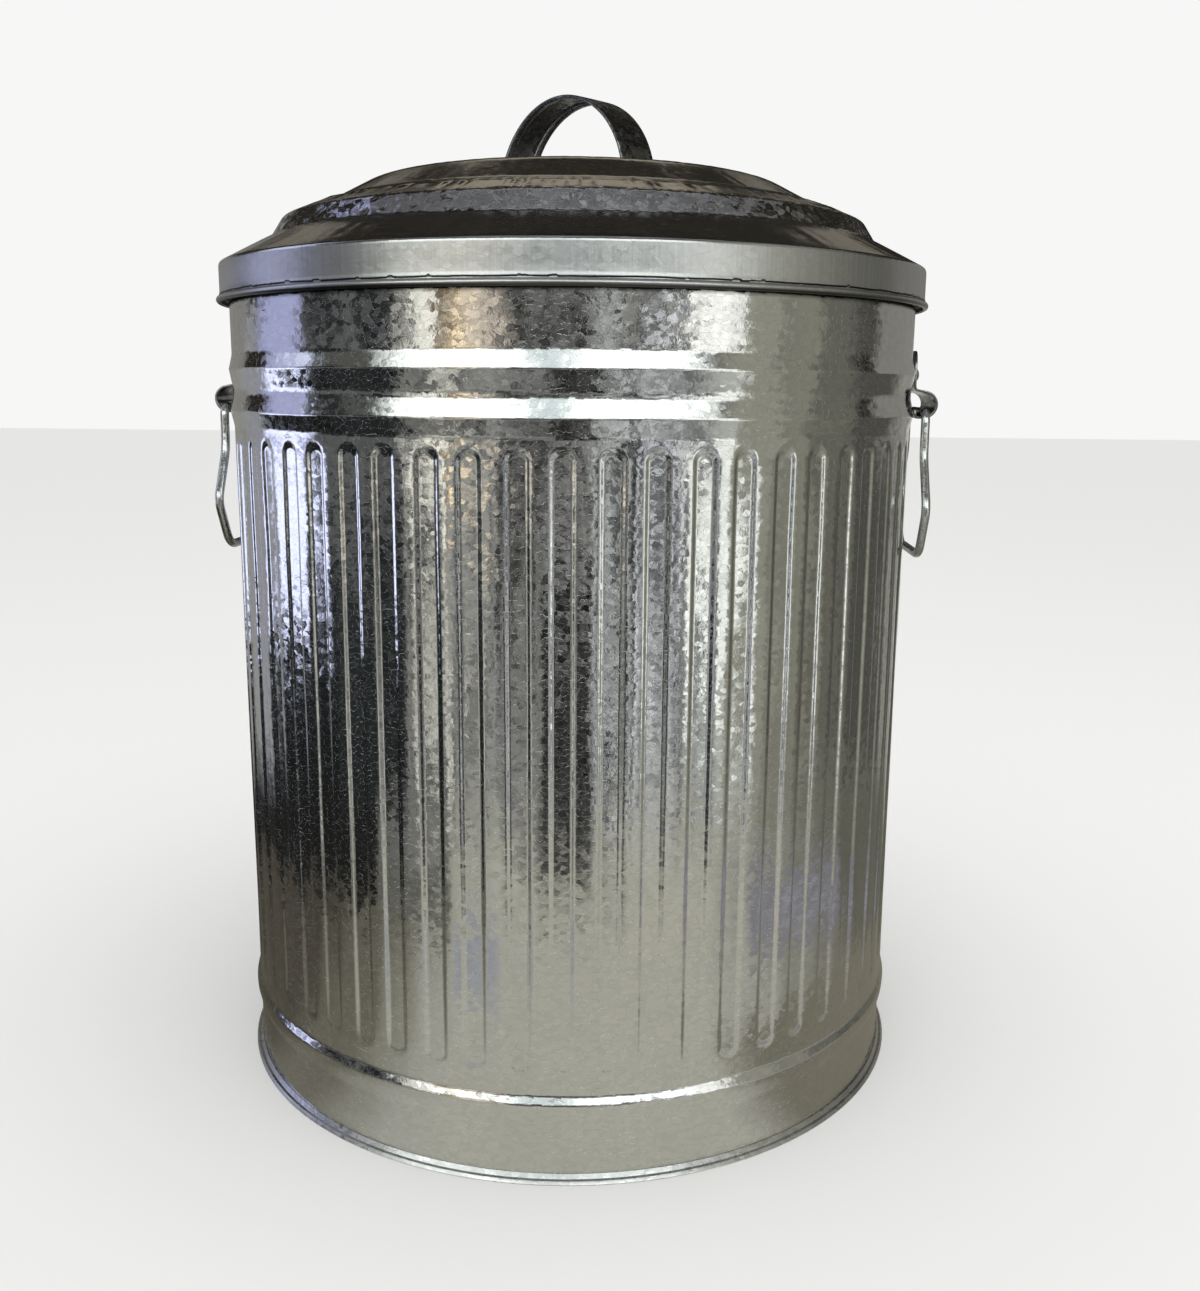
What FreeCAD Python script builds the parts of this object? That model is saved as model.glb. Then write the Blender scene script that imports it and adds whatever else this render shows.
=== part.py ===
import FreeCAD, Part
import math
import os

import Sketcher
from FreeCAD import Placement, Rotation, Vector

doc = FreeCAD.newDocument("TrashCan")
zAxis = Vector(0, 0, 1)
tiny = 1e-6

# Driving dimensions in millimetres and degrees. A value that starts with "=" follows from the ones above it.
# The can stands on z = 0 with its axis on the origin, its side handles on X and its side seam at the back, near +Y.
driving = [
    # the wall
    ("sheetThick", "0.8", "thickness of the wall, floor and lid sheet"),
    ("fitGap", "0.05", "gap between sheets that are folded over each other"),
    ("wallRadius", "236", "outside radius of the wall"),
    ("wallInner", "=wallRadius-sheetThick", "inside radius of the wall"),
    ("beadProud", "2.2", "how far the stiffening beads stand out"),
    ("beadRadius", "=wallRadius+beadProud", "radius at a bead's crest"),
    ("upperBeadTop", "496", "upper bead, top edge"),
    ("upperBeadCrest", "486.5", "upper bead, crest"),
    ("upperBeadFoot", "474", "upper bead, bottom edge"),
    ("lowerBeadTop", "470.5", "lower bead, top edge"),
    ("lowerBeadCrest", "459.7", "lower bead, crest"),
    ("lowerBeadFoot", "449.3", "lower bead, bottom edge"),
    ("footBeadTop", "59", "foot bead, top edge"),
    ("footBeadCrest", "49", "foot bead, crest"),
    ("footBeadFoot", "38.5", "foot bead, bottom edge"),
    # the curled rim
    ("rimTop", "553.5", "top of the curled rim"),
    ("rimRadius", "=wallRadius+3.7", "outside radius of the curl, which is closed round its wire"),
    ("rimEdge", "=rimTop-4.2", "lower edge of the curl"),
    # the flutes, pressed inward two at a time
    ("flutePairs", "28", "pairs of flutes round the can"),
    ("fluteTurn", "3.05", "angle from a pair's middle to each flute"),
    ("fluteBottom", "69", "lower end of a flute"),
    ("fluteTop", "445", "upper end of a flute"),
    ("fluteWidth", "15.6", "width of a flute at the wall's face"),
    ("fluteDepth", "1.2", "depth of a flute"),
    ("fluteSlope", "68", "angle between a flute's side and the radius"),
    ("fluteMouth", "=wallRadius+0.3", "where the punch starts, just outside the wall"),
    ("flutePunch", "=fluteDepth+0.3", "travel of the punch"),
    ("punchHalf", "=fluteWidth/2+0.3*tan(fluteSlope)", "half width of the punch"),
    ("fluteBack", "=wallRadius-sheetThick/2", "where the pressed metal starts, inside the sheet"),
    ("flutePress", "=fluteDepth+sheetThick/2", "how far the pressed metal goes in from there"),
    ("pressHalf", "=fluteWidth/2+0.9", "half width of the pressed metal there"),
    # the side seam
    ("seamTurn", "6.43", "angle of the side seam from the back"),
    ("seamWidth", "7.5", "width of the side seam"),
    ("seamProud", "1.5", "how far the side seam stands out"),
    ("seamFoot", "9", "lower end of the side seam"),
    ("seamTop", "544", "upper end of the side seam"),
    # the floor and the foot seam
    ("floorTop", "12", "top face of the raised floor"),
    ("floorFace", "=floorTop-sheetThick", "underside of the floor"),
    ("floorSide", "=wallInner-fitGap", "radius of the floor's side, against the wall"),
    ("floorSideInner", "=floorSide-sheetThick", "inside radius of the floor's side"),
    ("footGroove", "=wallRadius+fitGap", "radius of the seam's groove outside the wall"),
    ("footRadius", "=wallRadius+5.4", "outside radius of the foot seam"),
    ("footTop", "7.4", "top of the foot seam"),
    ("wallFoot", "=sheetThick+fitGap", "lower edge of the wall, in the seam's groove"),
    ("ground", "0", "the surface that the can stands on"),
    # the lid
    ("skirtRadius", "241.7", "outside radius of the lid's skirt"),
    ("skirtTop", "553.7", "top corner of the skirt"),
    ("riserFootR", "208", "foot of the riser, radius"),
    ("riserFootZ", "571", "foot of the riser, height"),
    ("riserTopR", "201", "top of the riser, radius"),
    ("riserTopZ", "581", "top of the riser, height"),
    ("stepR", "181", "foot of the crown, radius"),
    ("stepZ", "590", "foot of the crown, height"),
    ("crownR", "141", "edge of the crown, radius"),
    ("crownZ", "610.3", "edge of the crown, height"),
    ("padR", "66", "radius of the flat middle"),
    ("padZ", "622", "height of the flat middle"),
    ("lidBottom", "527", "lowest point of the lid"),
    ("skirtInner", "=skirtRadius-sheetThick", "inside radius of the lid's skirt"),
    ("hemRadius", "=skirtRadius+3", "outside radius of the hem, which is rolled closed"),
    ("hemTop", "=lidBottom+5.5", "upper edge of the hem"),
    # the lid's handle
    ("strapTurn", "-40.5", "turn of the handle about the lid's axis"),
    ("strapWidth", "32", "width of the strap"),
    ("strapThick", "1.2", "thickness of the strap"),
    ("strapFold", "6", "width of the folded edges"),
    ("strapFoldThick", "2.3", "thickness of the strap where its edges are folded under"),
    ("strapRadius", "61.5", "outside radius of the arch"),
    ("strapCentreZ", "609.5", "height of the arch's centre"),
    ("strapFootZ", "=padZ+fitGap", "underside of the feet"),
    ("strapSpan", "=sqrt(strapRadius^2-(strapFootZ-strapCentreZ)^2)", "half span of the arch at the feet"),
    ("strapFootEnd", "=strapSpan-23", "inner end of a foot"),
    ("strapRivetU", "=strapSpan-13", "distance of the handle's rivets from the axis"),
    ("strapRivetV", "5.2", "half distance between two rivets of a foot"),
    ("drillReach", "3", "how far the rivets' drill reaches above and below the crown"),
    # ears and side handles
    ("toolReach", "=wallRadius+20", "how far a cutting tool reaches from the axis"),
    ("earLength", "56", "width of an ear along the wall"),
    ("earThick", "1.6", "thickness of an ear"),
    ("earInner", "=beadRadius+fitGap", "radius of the ear's back, on the bead crests"),
    ("earBottom", "455", "lower edge of an ear"),
    ("earTop", "503", "upper edge of an ear"),
    ("earCorner", "12", "corner radius of an ear"),
    ("loopCentreR", "244.2", "loop, radius of its centre"),
    ("loopCentreZ", "466.5", "loop, height of its centre"),
    ("loopRadius", "9.5", "outside radius of the loop"),
    ("loopTop", "=loopCentreZ+loopRadius", "top of the loop"),
    ("loopBottom", "=loopCentreZ-loopRadius", "bottom of the loop"),
    ("loopRootR", "=earInner-8", "where the loop's flats start, behind the ear's back"),
    ("bailWire", "3", "radius of a side handle's wire"),
    ("bailR", "=loopCentreR", "distance of the handle's top bar from the can's axis"),
    ("bailZ", "=loopBottom+earThick+fitGap+bailWire", "height of the handle's top bar"),
    ("bailTopBend", "7", "bend radius at the top bar's ends"),
    ("bailNeckBend", "30", "bend radius at the neck"),
    ("bailGripBend", "13", "bend radius at the widest place"),
    ("bailFootBend", "18", "bend radius at the bottom"),
    ("bailBendSteps", "3", "straight steps in each bend"),
    ("bailTopHalf", "=earLength/2+0.8+bailTopBend", "half width of the handle at the top"),
    ("bailNeckHalf", "37", "half width of the handle at the neck"),
    ("bailNeckDrop", "30", "depth of the neck below the top bar"),
    ("bailGripHalf", "57", "half width of the handle at its widest"),
    ("bailGripDrop", "65", "depth of the widest place"),
    ("bailFootHalf", "38", "half width of the handle's flat bottom"),
    ("bailDrop", "98", "depth of the handle's bottom"),
    ("bailSplit", "0.6", "half of the gap where the wire's ends meet"),
    ("bailBar", "=bailTopHalf-bailTopBend-bailSplit", "length of the round bar on each side of that gap"),
    ("bailCore", "=bailWire-fitGap", "radius of the eight-sided wire, which starts inside the bar"),
    # rivets
    ("earRivetTurn", "4.2", "angle of an ear's rivets from its middle"),
    ("earRivetZ", "=upperBeadCrest", "height of an ear's rivets"),
    ("shankRadius", "2.4", "radius of a rivet's shank"),
    ("holeRadius", "=shankRadius+fitGap", "radius of a rivet's hole"),
    ("headRadius", "4.6", "radius of a rivet's head"),
    ("headTopRadius", "2.6", "radius of the flat on a rivet's head"),
    ("headHeight", "2.2", "height of a rivet's head"),
    ("tailRadius", "3.8", "radius of a rivet's tail"),
    ("tailHeight", "1.2", "thickness of a rivet's tail"),
    ("handleGrip", "=strapThick+fitGap*2+sheetThick", "length of a handle rivet's shank"),
    ("beadHollow", "1.1", "room left between the bead's crest and a rivet's tail"),
    ("earGrip", "=earThick+fitGap+sheetThick+beadHollow", "length of an ear rivet's shank"),
]

sheet = doc.addObject("Spreadsheet::Sheet", "Dimensions")
for row, (alias, value, note) in enumerate(driving, 1):
    sheet.set("A%d" % row, note)
    sheet.set("B%d" % row, value)
    sheet.setAlias("B%d" % row, alias)
doc.recompute()


def size(alias):
    return float(sheet.get(alias))


def bind(feature, prop, expression):
    feature.setExpression(prop, expression)


def cell(alias):
    return "Dimensions." + alias


# ---- sketch helpers


def hold(sketch, kind, places, alias):
    """Adds a dimension to a sketch and ties it to a cell. A leading minus mirrors the dimension."""
    value = -size(alias[1:]) if alias.startswith("-") else size(alias)
    formula = "-" + cell(alias[1:]) if alias.startswith("-") else cell(alias)
    if kind in ("DistanceX", "DistanceY") and value == 0:
        kind, formula = {"DistanceX": "Vertical", "DistanceY": "Horizontal"}[kind], None
    if formula is None:
        sketch.addConstraint(Sketcher.Constraint(kind, *places))
        return
    held = sketch.addConstraint(Sketcher.Constraint(kind, *places, value))
    sketch.setExpression("Constraints[%d]" % held, formula)


def pin(sketch, edge, end, x, z):
    """Ties a point of the sketch to two cells. None leaves that direction free, and "axis" puts it on the axis."""
    origin = (-1, 1)
    if x == "axis":
        sketch.addConstraint(Sketcher.Constraint("PointOnObject", edge, end, -2))
    elif x is not None:
        hold(sketch, "DistanceX", (*origin, edge, end), x)
    if z is not None:
        hold(sketch, "DistanceY", (*origin, edge, end), z)


def number(alias):
    if alias == "axis":
        return 0.0
    return -size(alias[1:]) if alias.startswith("-") else size(alias)


def drawPath(sketch, steps):
    """Draws a path, which closes where its last step is its first. A step is a point (x, z), or
    ("arc", cx, cz, x, z, fixed, clockwise) to reach a point round a centre, where fixed says which of
    the end's x and z is held."""
    start = steps[0]
    here = Vector(number(start[0]), number(start[1]), 0)
    first, last = None, None
    for step in steps[1:]:
        if step[0] == "arc":
            _, cx, cz, x, z, fixed, clockwise = step
            centre = Vector(number(cx), number(cz), 0)
            there = Vector(number(x), number(z), 0)
            radius = (here - centre).Length
            angles = [math.atan2(p.y - centre.y, p.x - centre.x) for p in (here, there)]
            if clockwise:
                angles.reverse()
            if angles[1] < angles[0]:
                angles[1] += 2 * math.pi
            circle = Part.Circle(centre, zAxis, radius)
            edge = sketch.addGeometry(Part.ArcOfCircle(circle, angles[0], angles[1]), False)
            begin, end = (2, 1) if clockwise else (1, 2)
            sketch.addConstraint(Sketcher.Constraint("Coincident", last[0], last[1], edge, begin))
            pin(sketch, edge, 3, cx, cz)
            pin(sketch, edge, end, x if fixed == "x" else None, z if fixed == "z" else None)
            last, here = (edge, end), there
        else:
            there = Vector(number(step[0]), number(step[1]), 0)
            edge = sketch.addGeometry(Part.LineSegment(here, there), False)
            if last is None:
                first = (edge, 1)
                pin(sketch, edge, 1, *start)
            else:
                sketch.addConstraint(Sketcher.Constraint("Coincident", last[0], last[1], edge, 1))
            last, here = (edge, 2), there
            if step == start:
                sketch.addConstraint(Sketcher.Constraint("Coincident", *last, *first))
            else:
                pin(sketch, edge, 2, *step)


def profileSketch(name, steps):
    """A sketch in the XZ plane, outside any body: x is the radius and y the height."""
    sketch = doc.addObject("Sketcher::SketchObject", name)
    sketch.Placement = Placement(Vector(0, 0, 0), Rotation(Vector(1, 0, 0), 90))
    drawPath(sketch, steps)
    return sketch


def sheetSection(name, steps, alias):
    """The section of a bent sheet: a path thickened to its left by the given cell."""
    section = doc.addObject("Part::Offset2D", name + "_section")
    section.Source = profileSketch(name + "_path", steps)
    section.Join = "Tangent"
    section.Mode = "Skin"
    section.Fill = True
    bind(section, "Value", cell(alias))
    return section


def turned(name, source):
    """A solid of revolution about the can's axis, from a face or a closed sketch."""
    solid = doc.addObject("Part::Revolution", name)
    solid.Source = source
    solid.Axis = zAxis
    solid.Base = Vector(0, 0, 0)
    solid.Angle = 360
    solid.Solid = source.isDerivedFrom("Sketcher::SketchObject")
    return solid


def ring(name, inner, outer, low, high):
    """A closed roll of sheet, as a plain ring."""
    corners = [(inner, low), (outer, low), (outer, high), (inner, high), (inner, low)]
    return turned(name, profileSketch(name + "_section", corners))


def fused(name, *parts):
    result = doc.addObject("Part::MultiFuse", name)
    result.Shapes = list(parts)
    result.Refine = True
    return result


def extruded(name, source, direction, forward, backward):
    solid = doc.addObject("Part::Extrusion", name)
    solid.Base = source
    solid.DirMode = "Custom"
    solid.Dir = direction
    solid.Solid = True
    bind(solid, "LengthFwd", forward)
    bind(solid, "LengthRev", backward)
    return solid


def cylinder(name, radius, height):
    solid = doc.addObject("Part::Cylinder", name)
    bind(solid, "Radius", radius)
    bind(solid, "Height", height)
    return solid


def cut(name, base, tool):
    result = doc.addObject("Part::Cut", name)
    result.Base = base
    result.Tool = tool
    return result


def plane(body, role):
    return next(f for f in body.Origin.OriginFeatures if f.Role == role)


# ---- wall


def wallSheet():
    steps = [("wallRadius", "wallFoot")]
    for bead in ("footBead", "lowerBead", "upperBead"):
        steps.append(("wallRadius", bead + "Foot"))
        steps.append(("beadRadius", bead + "Crest"))
        steps.append(("wallRadius", bead + "Top"))
    steps.append(("wallRadius", "rimTop"))
    wall = turned("wall_bent", sheetSection("wall", steps, "sheetThick"))
    return fused("wall_sheet", wall, ring("rim_curl", "wallInner", "rimRadius", "rimEdge", "rimTop"))


def offsetPlane(sketch, base, turn, depth):
    """Puts a sketch on an upright plane of its body, turned about the can's axis and at a distance from it."""
    sketch.AttachmentSupport = [(base, "")]
    sketch.MapMode = "FlatFace"
    sketch.AttachmentOffset = Placement(Vector(0, 0, 1), Rotation(Vector(0, 1, 0), 1))
    bind(sketch, "AttachmentOffset.Rotation.Angle", turn)
    bind(sketch, "AttachmentOffset.Base.x", "%s * sin(%s)" % (depth, turn))
    bind(sketch, "AttachmentOffset.Base.z", "%s * cos(%s)" % (depth, turn))


def outline(sketch, corners):
    """Draws a closed outline. A corner is (x, x formula, y, y formula), held from the sketch's origin."""
    points = [Vector(x, y, 0) for x, _, y, _ in corners]
    ends = points[1:] + points[:1]
    edges = [sketch.addGeometry(Part.LineSegment(a, b), False) for a, b in zip(points, ends)]
    for edge, following in zip(edges, edges[1:] + edges[:1]):
        sketch.addConstraint(Sketcher.Constraint("Coincident", edge, 2, following, 1))
    for edge, (x, xFormula, y, yFormula) in zip(edges, corners):
        for way, value, formula in (("DistanceX", x, xFormula), ("DistanceY", y, yFormula)):
            held = sketch.addConstraint(Sketcher.Constraint(way, -1, 1, edge, 1, value))
            sketch.setExpression("Constraints[%d]" % held, formula)


def slotSketch(body, name, depth, half, turn):
    """A long slot with faceted round ends, on a plane that faces the axis at a depth, turned about the can's axis."""
    sketch = body.newObject("Sketcher::SketchObject", name)
    offsetPlane(sketch, plane(body, "XZ_Plane"), turn, depth)
    width = size(half)
    rise = width * math.cos(math.pi / 6)
    riseFormula = cell(half) + " * cos(30)"
    low = (size("fluteBottom"), cell("fluteBottom"))
    lowShoulder = (low[0] + rise, "%s + %s" % (low[1], riseFormula))
    high = (size("fluteTop"), cell("fluteTop"))
    highShoulder = (high[0] - rise, "%s - %s" % (high[1], riseFormula))
    places = [(-1, lowShoulder), (-0.5, low), (0.5, low), (1, lowShoulder),
              (1, highShoulder), (0.5, high), (-0.5, high), (-1, highShoulder)]
    outline(sketch, [(share * width, "%s * %s" % (share, cell(half)), *level) for share, level in places])
    return sketch


def pattern(body, name, originals, occurrences):
    """Repeats features evenly round the can's axis."""
    result = body.newObject("PartDesign::PolarPattern", name)
    result.Originals = originals
    result.Axis = (plane(body, "Z_Axis"), [""])
    result.Angle = 360
    bind(result, "Occurrences", occurrences)
    body.Tip = result
    doc.recompute()
    return result


def sideSeam(body):
    """The lock seam where the sheet's two edges hook together, a flat strip up the back."""
    sketch = body.newObject("Sketcher::SketchObject", "seam_strip")
    offsetPlane(sketch, plane(body, "XZ_Plane"), "180 + " + cell("seamTurn"), cell("wallInner"))
    half, low, high = size("seamWidth") / 2, size("seamFoot"), size("seamTop")
    edge = cell("seamWidth") + " / 2"
    outline(sketch, [
        (-half, "-" + edge, low, cell("seamFoot")),
        (half, edge, low, cell("seamFoot")),
        (half, edge, high, cell("seamTop")),
        (-half, "-" + edge, high, cell("seamTop")),
    ])
    pad = body.newObject("PartDesign::Pad", "side_seam")
    pad.Profile = sketch
    bind(pad, "Length", "%s + %s" % (cell("sheetThick"), cell("seamProud")))
    body.Tip = pad
    doc.recompute()


def rivetHoles(body):
    """One line of holes on each side of the ears' middle, drilled through both walls at once."""
    for side, sign in (("front", "-"), ("back", "")):
        sketch = body.newObject("Sketcher::SketchObject", "rivet_hole_" + side)
        offsetPlane(sketch, plane(body, "YZ_Plane"), sign + cell("earRivetTurn"), "0")
        circle = Part.Circle(Vector(0, size("earRivetZ"), 0), zAxis, size("holeRadius"))
        edge = sketch.addGeometry(circle, False)
        sketch.addConstraint(Sketcher.Constraint("PointOnObject", edge, 3, -2))
        hold(sketch, "DistanceY", (-1, 1, edge, 3), "earRivetZ")
        hold(sketch, "Radius", (edge,), "holeRadius")
        drilled = body.newObject("PartDesign::Pocket", "rivet_holes_" + side)
        drilled.Profile = sketch
        drilled.Type = "ThroughAll"
        drilled.Midplane = True
        body.Tip = drilled
        doc.recompute()


def canWall():
    body = doc.addObject("PartDesign::Body", "can_wall")
    body.BaseFeature = wallSheet()
    doc.recompute()
    sideSeam(body)
    rivetHoles(body)
    blank = body.Shape.Volume
    turns = {"left": "-" + cell("fluteTurn"), "right": cell("fluteTurn")}

    # the metal that a punch pushes in, then the hollow of the punch itself
    pressed = []
    for side, turn in turns.items():
        pad = body.newObject("PartDesign::Pad", "pressed_" + side)
        pad.Profile = slotSketch(body, "press_" + side, cell("fluteBack"), "pressHalf", turn)
        pad.Reversed = True
        bind(pad, "Length", cell("flutePress"))
        bind(pad, "TaperAngle", "-" + cell("fluteSlope"))
        pressed.append(pad)
    pattern(body, "pressed_flutes", pressed, cell("flutePairs"))
    raised = body.Shape.Volume

    hollows = []
    for side, turn in turns.items():
        pocket = body.newObject("PartDesign::Pocket", "hollow_" + side)
        pocket.Profile = slotSketch(body, "punch_" + side, cell("fluteMouth"), "punchHalf", turn)
        pocket.Reversed = False
        bind(pocket, "Length", cell("flutePunch"))
        bind(pocket, "TaperAngle", "-" + cell("fluteSlope"))
        hollows.append(pocket)
    pattern(body, "hollow_flutes", hollows, cell("flutePairs"))
    print("wall volumes: blank %.0f, pressed %.0f, hollowed %.0f" % (blank, raised, body.Shape.Volume))
    return body


# ---- floor


def bottomPan():
    """The raised floor, its side, and the seam with the groove that holds the wall's lower edge."""
    corners = [
        ("axis", "floorTop"),
        ("floorSide", "floorTop"),
        ("floorSide", "sheetThick"),
        ("footGroove", "sheetThick"),
        ("footGroove", "footTop"),
        ("footRadius", "footTop"),
        ("footRadius", "ground"),
        ("floorSideInner", "ground"),
        ("floorSideInner", "floorFace"),
        ("axis", "floorFace"),
        ("axis", "floorTop"),
    ]
    return turned("bottom_pan", profileSketch("pan_section", corners))


# ---- lid


def lidSheet():
    steps = [
        ("skirtRadius", "lidBottom"),
        ("skirtRadius", "skirtTop"),
        ("riserFootR", "riserFootZ"),
        ("riserTopR", "riserTopZ"),
        ("stepR", "stepZ"),
        ("crownR", "crownZ"),
        ("padR", "padZ"),
        ("axis", "padZ"),
    ]
    lid = turned("lid_bent", sheetSection("lid", steps, "sheetThick"))
    return fused("lid_sheet", lid, ring("lid_hem", "skirtInner", "hemRadius", "lidBottom", "hemTop"))


# ---- the lid's handle


def strapPath():
    """The strap's outer face in the XZ plane: a foot, the arch and the other foot."""
    return [
        ("strapFootEnd", "strapFootZ"),
        ("strapSpan", "strapFootZ"),
        ("arc", "axis", "strapCentreZ", "-strapSpan", "strapFootZ", "x", False),
        ("-strapFootEnd", "strapFootZ"),
    ]


def lidHandle():
    """A bent strap with its long edges folded under, holed for the rivets and turned about the lid's axis."""
    section = sheetSection("strap", strapPath(), "strapThick")
    folded = doc.addObject("Part::Offset2D", "strap_fold_section")
    folded.Source = section.Source
    folded.Join = "Tangent"
    folded.Mode = "Skin"
    folded.Fill = True
    bind(folded, "Value", cell("strapFoldThick"))
    half = cell("strapWidth") + " / 2"
    inside = "%s - %s" % (cell("strapFold"), half)
    blank = doc.addObject("Part::MultiFuse", "strap_blank")
    blank.Shapes = [
        extruded("strap_web", section, Vector(0, 1, 0), half, half),
        extruded("strap_fold_near", folded, Vector(0, -1, 0), half, inside),
        extruded("strap_fold_far", folded, Vector(0, 1, 0), half, inside),
    ]
    blank.Refine = True
    drills = doc.addObject("Part::MultiFuse", "strap_drills")
    drills.Shapes = [drill("strap_drill_%d" % i, u, v) for i, (u, v) in enumerate(handleRivetPlaces)]
    handle = cut("lid_handle", blank, drills)
    turnStrap(handle)
    return handle


def drill(name, u, v):
    """A drill for one rivet of the handle, through the strap's foot and the crown."""
    tool = cylinder(name, cell("holeRadius"), cell("drillReach") + " * 2")
    tool.Placement = Placement(Vector(1, 1, 1), Rotation())
    bind(tool, "Placement.Base.x", u)
    bind(tool, "Placement.Base.y", v)
    bind(tool, "Placement.Base.z", "%s - %s" % (cell("padZ"), cell("drillReach")))
    return tool


def turnStrap(piece):
    """Turns a piece of the handle to the strap's direction."""
    piece.Placement = Placement(Vector(0, 0, 0), Rotation(zAxis, 1))
    bind(piece, "Placement.Rotation.Angle", cell("strapTurn"))


handleRivetPlaces = [
    (side + cell("strapRivetU"), row + cell("strapRivetV")) for side in ("", "-") for row in ("", "-")
]


# ---- rivets


def eightSided(profile):
    """A solid with eight flat sides about Z, from points (radius, height) that start and end on the axis."""
    sides = []
    for step in range(8):
        turn = Rotation(zAxis, 45 * step)
        sides.append([turn.multVec(Vector(radius, 0, height)) for radius, height in profile])
    faces = []
    for here, there in zip(sides, sides[1:] + sides[:1]):
        for low, high, farHigh, farLow in zip(here, here[1:], there[1:], there):
            corners = [low, high, farHigh, farLow]
            if high.isEqual(farHigh, tiny):
                corners.remove(farHigh)
            if low.isEqual(farLow, tiny):
                corners.remove(farLow)
            faces.append(Part.Face(Part.makePolygon(corners + corners[:1])))
    return Part.Solid(Part.Shell(faces))


def rivet(grip):
    """A rivet on +Z: its head stands on z = 0, its shank goes down by the grip and its tail is below that."""
    shank, head, tail = size("shankRadius"), size("headRadius"), size("tailRadius")
    low, end = -size(grip), -size(grip) - size("tailHeight")
    return eightSided([
        (0, size("headHeight")),
        (size("headTopRadius"), size("headHeight")),
        (head, 0),
        (shank, 0),
        (shank, low),
        (tail, low),
        (tail, end),
        (0, end),
    ])


def addPiece(name, shape, placement):
    piece = doc.addObject("Part::Feature", name)
    piece.Shape = shape
    piece.Placement = placement
    return piece


def handleRivets():
    turn = Rotation(zAxis, size("strapTurn"))
    shape = rivet("handleGrip")
    seat = size("strapFootZ") + size("strapThick")
    pieces = []
    for i, (u, v) in enumerate(((1, 1), (1, -1), (-1, 1), (-1, -1)), 1):
        place = turn.multVec(Vector(u * size("strapRivetU"), v * size("strapRivetV"), 0)) + Vector(0, 0, seat)
        pieces.append(addPiece("handle_rivet_%d" % i, shape, Placement(place, Rotation())))
    return pieces


# ---- ears


def ear(side):
    """A sheet ear on one side of the can: a plate bent to the wall with a loop rolled in it."""
    blank = cylinder("ear_outer_" + side, "%s + %s" % (cell("earInner"), cell("earThick")), cell("rimTop"))
    bore = cylinder("ear_bore_" + side, cell("earInner"), cell("rimTop"))
    band = cut("ear_band_" + side, blank, bore)
    plate = doc.addObject("Part::Common", "ear_plate_" + side)
    plate.Base = band
    plate.Tool = earOutline(side)
    loopSection = sheetSection(
        "loop_" + side,
        [
            ("loopRootR", "loopBottom"),
            ("loopCentreR", "loopBottom"),
            ("arc", "loopCentreR", "loopCentreZ", "loopCentreR", "loopTop", "x", False),
            ("loopRootR", "loopTop"),
        ],
        "earThick",
    )
    half = cell("earLength") + " / 2"
    rolled = extruded("loop_rolled_" + side, loopSection, Vector(0, 1, 0), half, half)
    trimmed = cut("loop_trimmed_" + side, rolled, cylinder("loop_trim_" + side, cell("earInner"), cell("rimTop")))
    both = doc.addObject("Part::Fuse", "ear_blank_" + side)
    both.Base = plate
    both.Tool = trimmed
    drills = doc.addObject("Part::MultiFuse", "ear_drills_" + side)
    tools = []
    for row, sign in (("front", -1), ("back", 1)):
        tool = cylinder("ear_drill_%s_%s" % (row, side), cell("holeRadius"), cell("toolReach"))
        turn = Rotation(zAxis, sign * size("earRivetTurn")).multiply(Rotation(Vector(0, 1, 0), 90))
        tool.Placement = Placement(Vector(0, 0, size("earRivetZ")), turn)
        bind(tool, "Placement.Base.z", cell("earRivetZ"))
        tools.append(tool)
    drills.Shapes = tools
    result = cut("ear_" + side, both, drills)
    if side == "left":
        result.Placement = Placement(Vector(0, 0, 0), Rotation(zAxis, 180))
    return result


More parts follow.
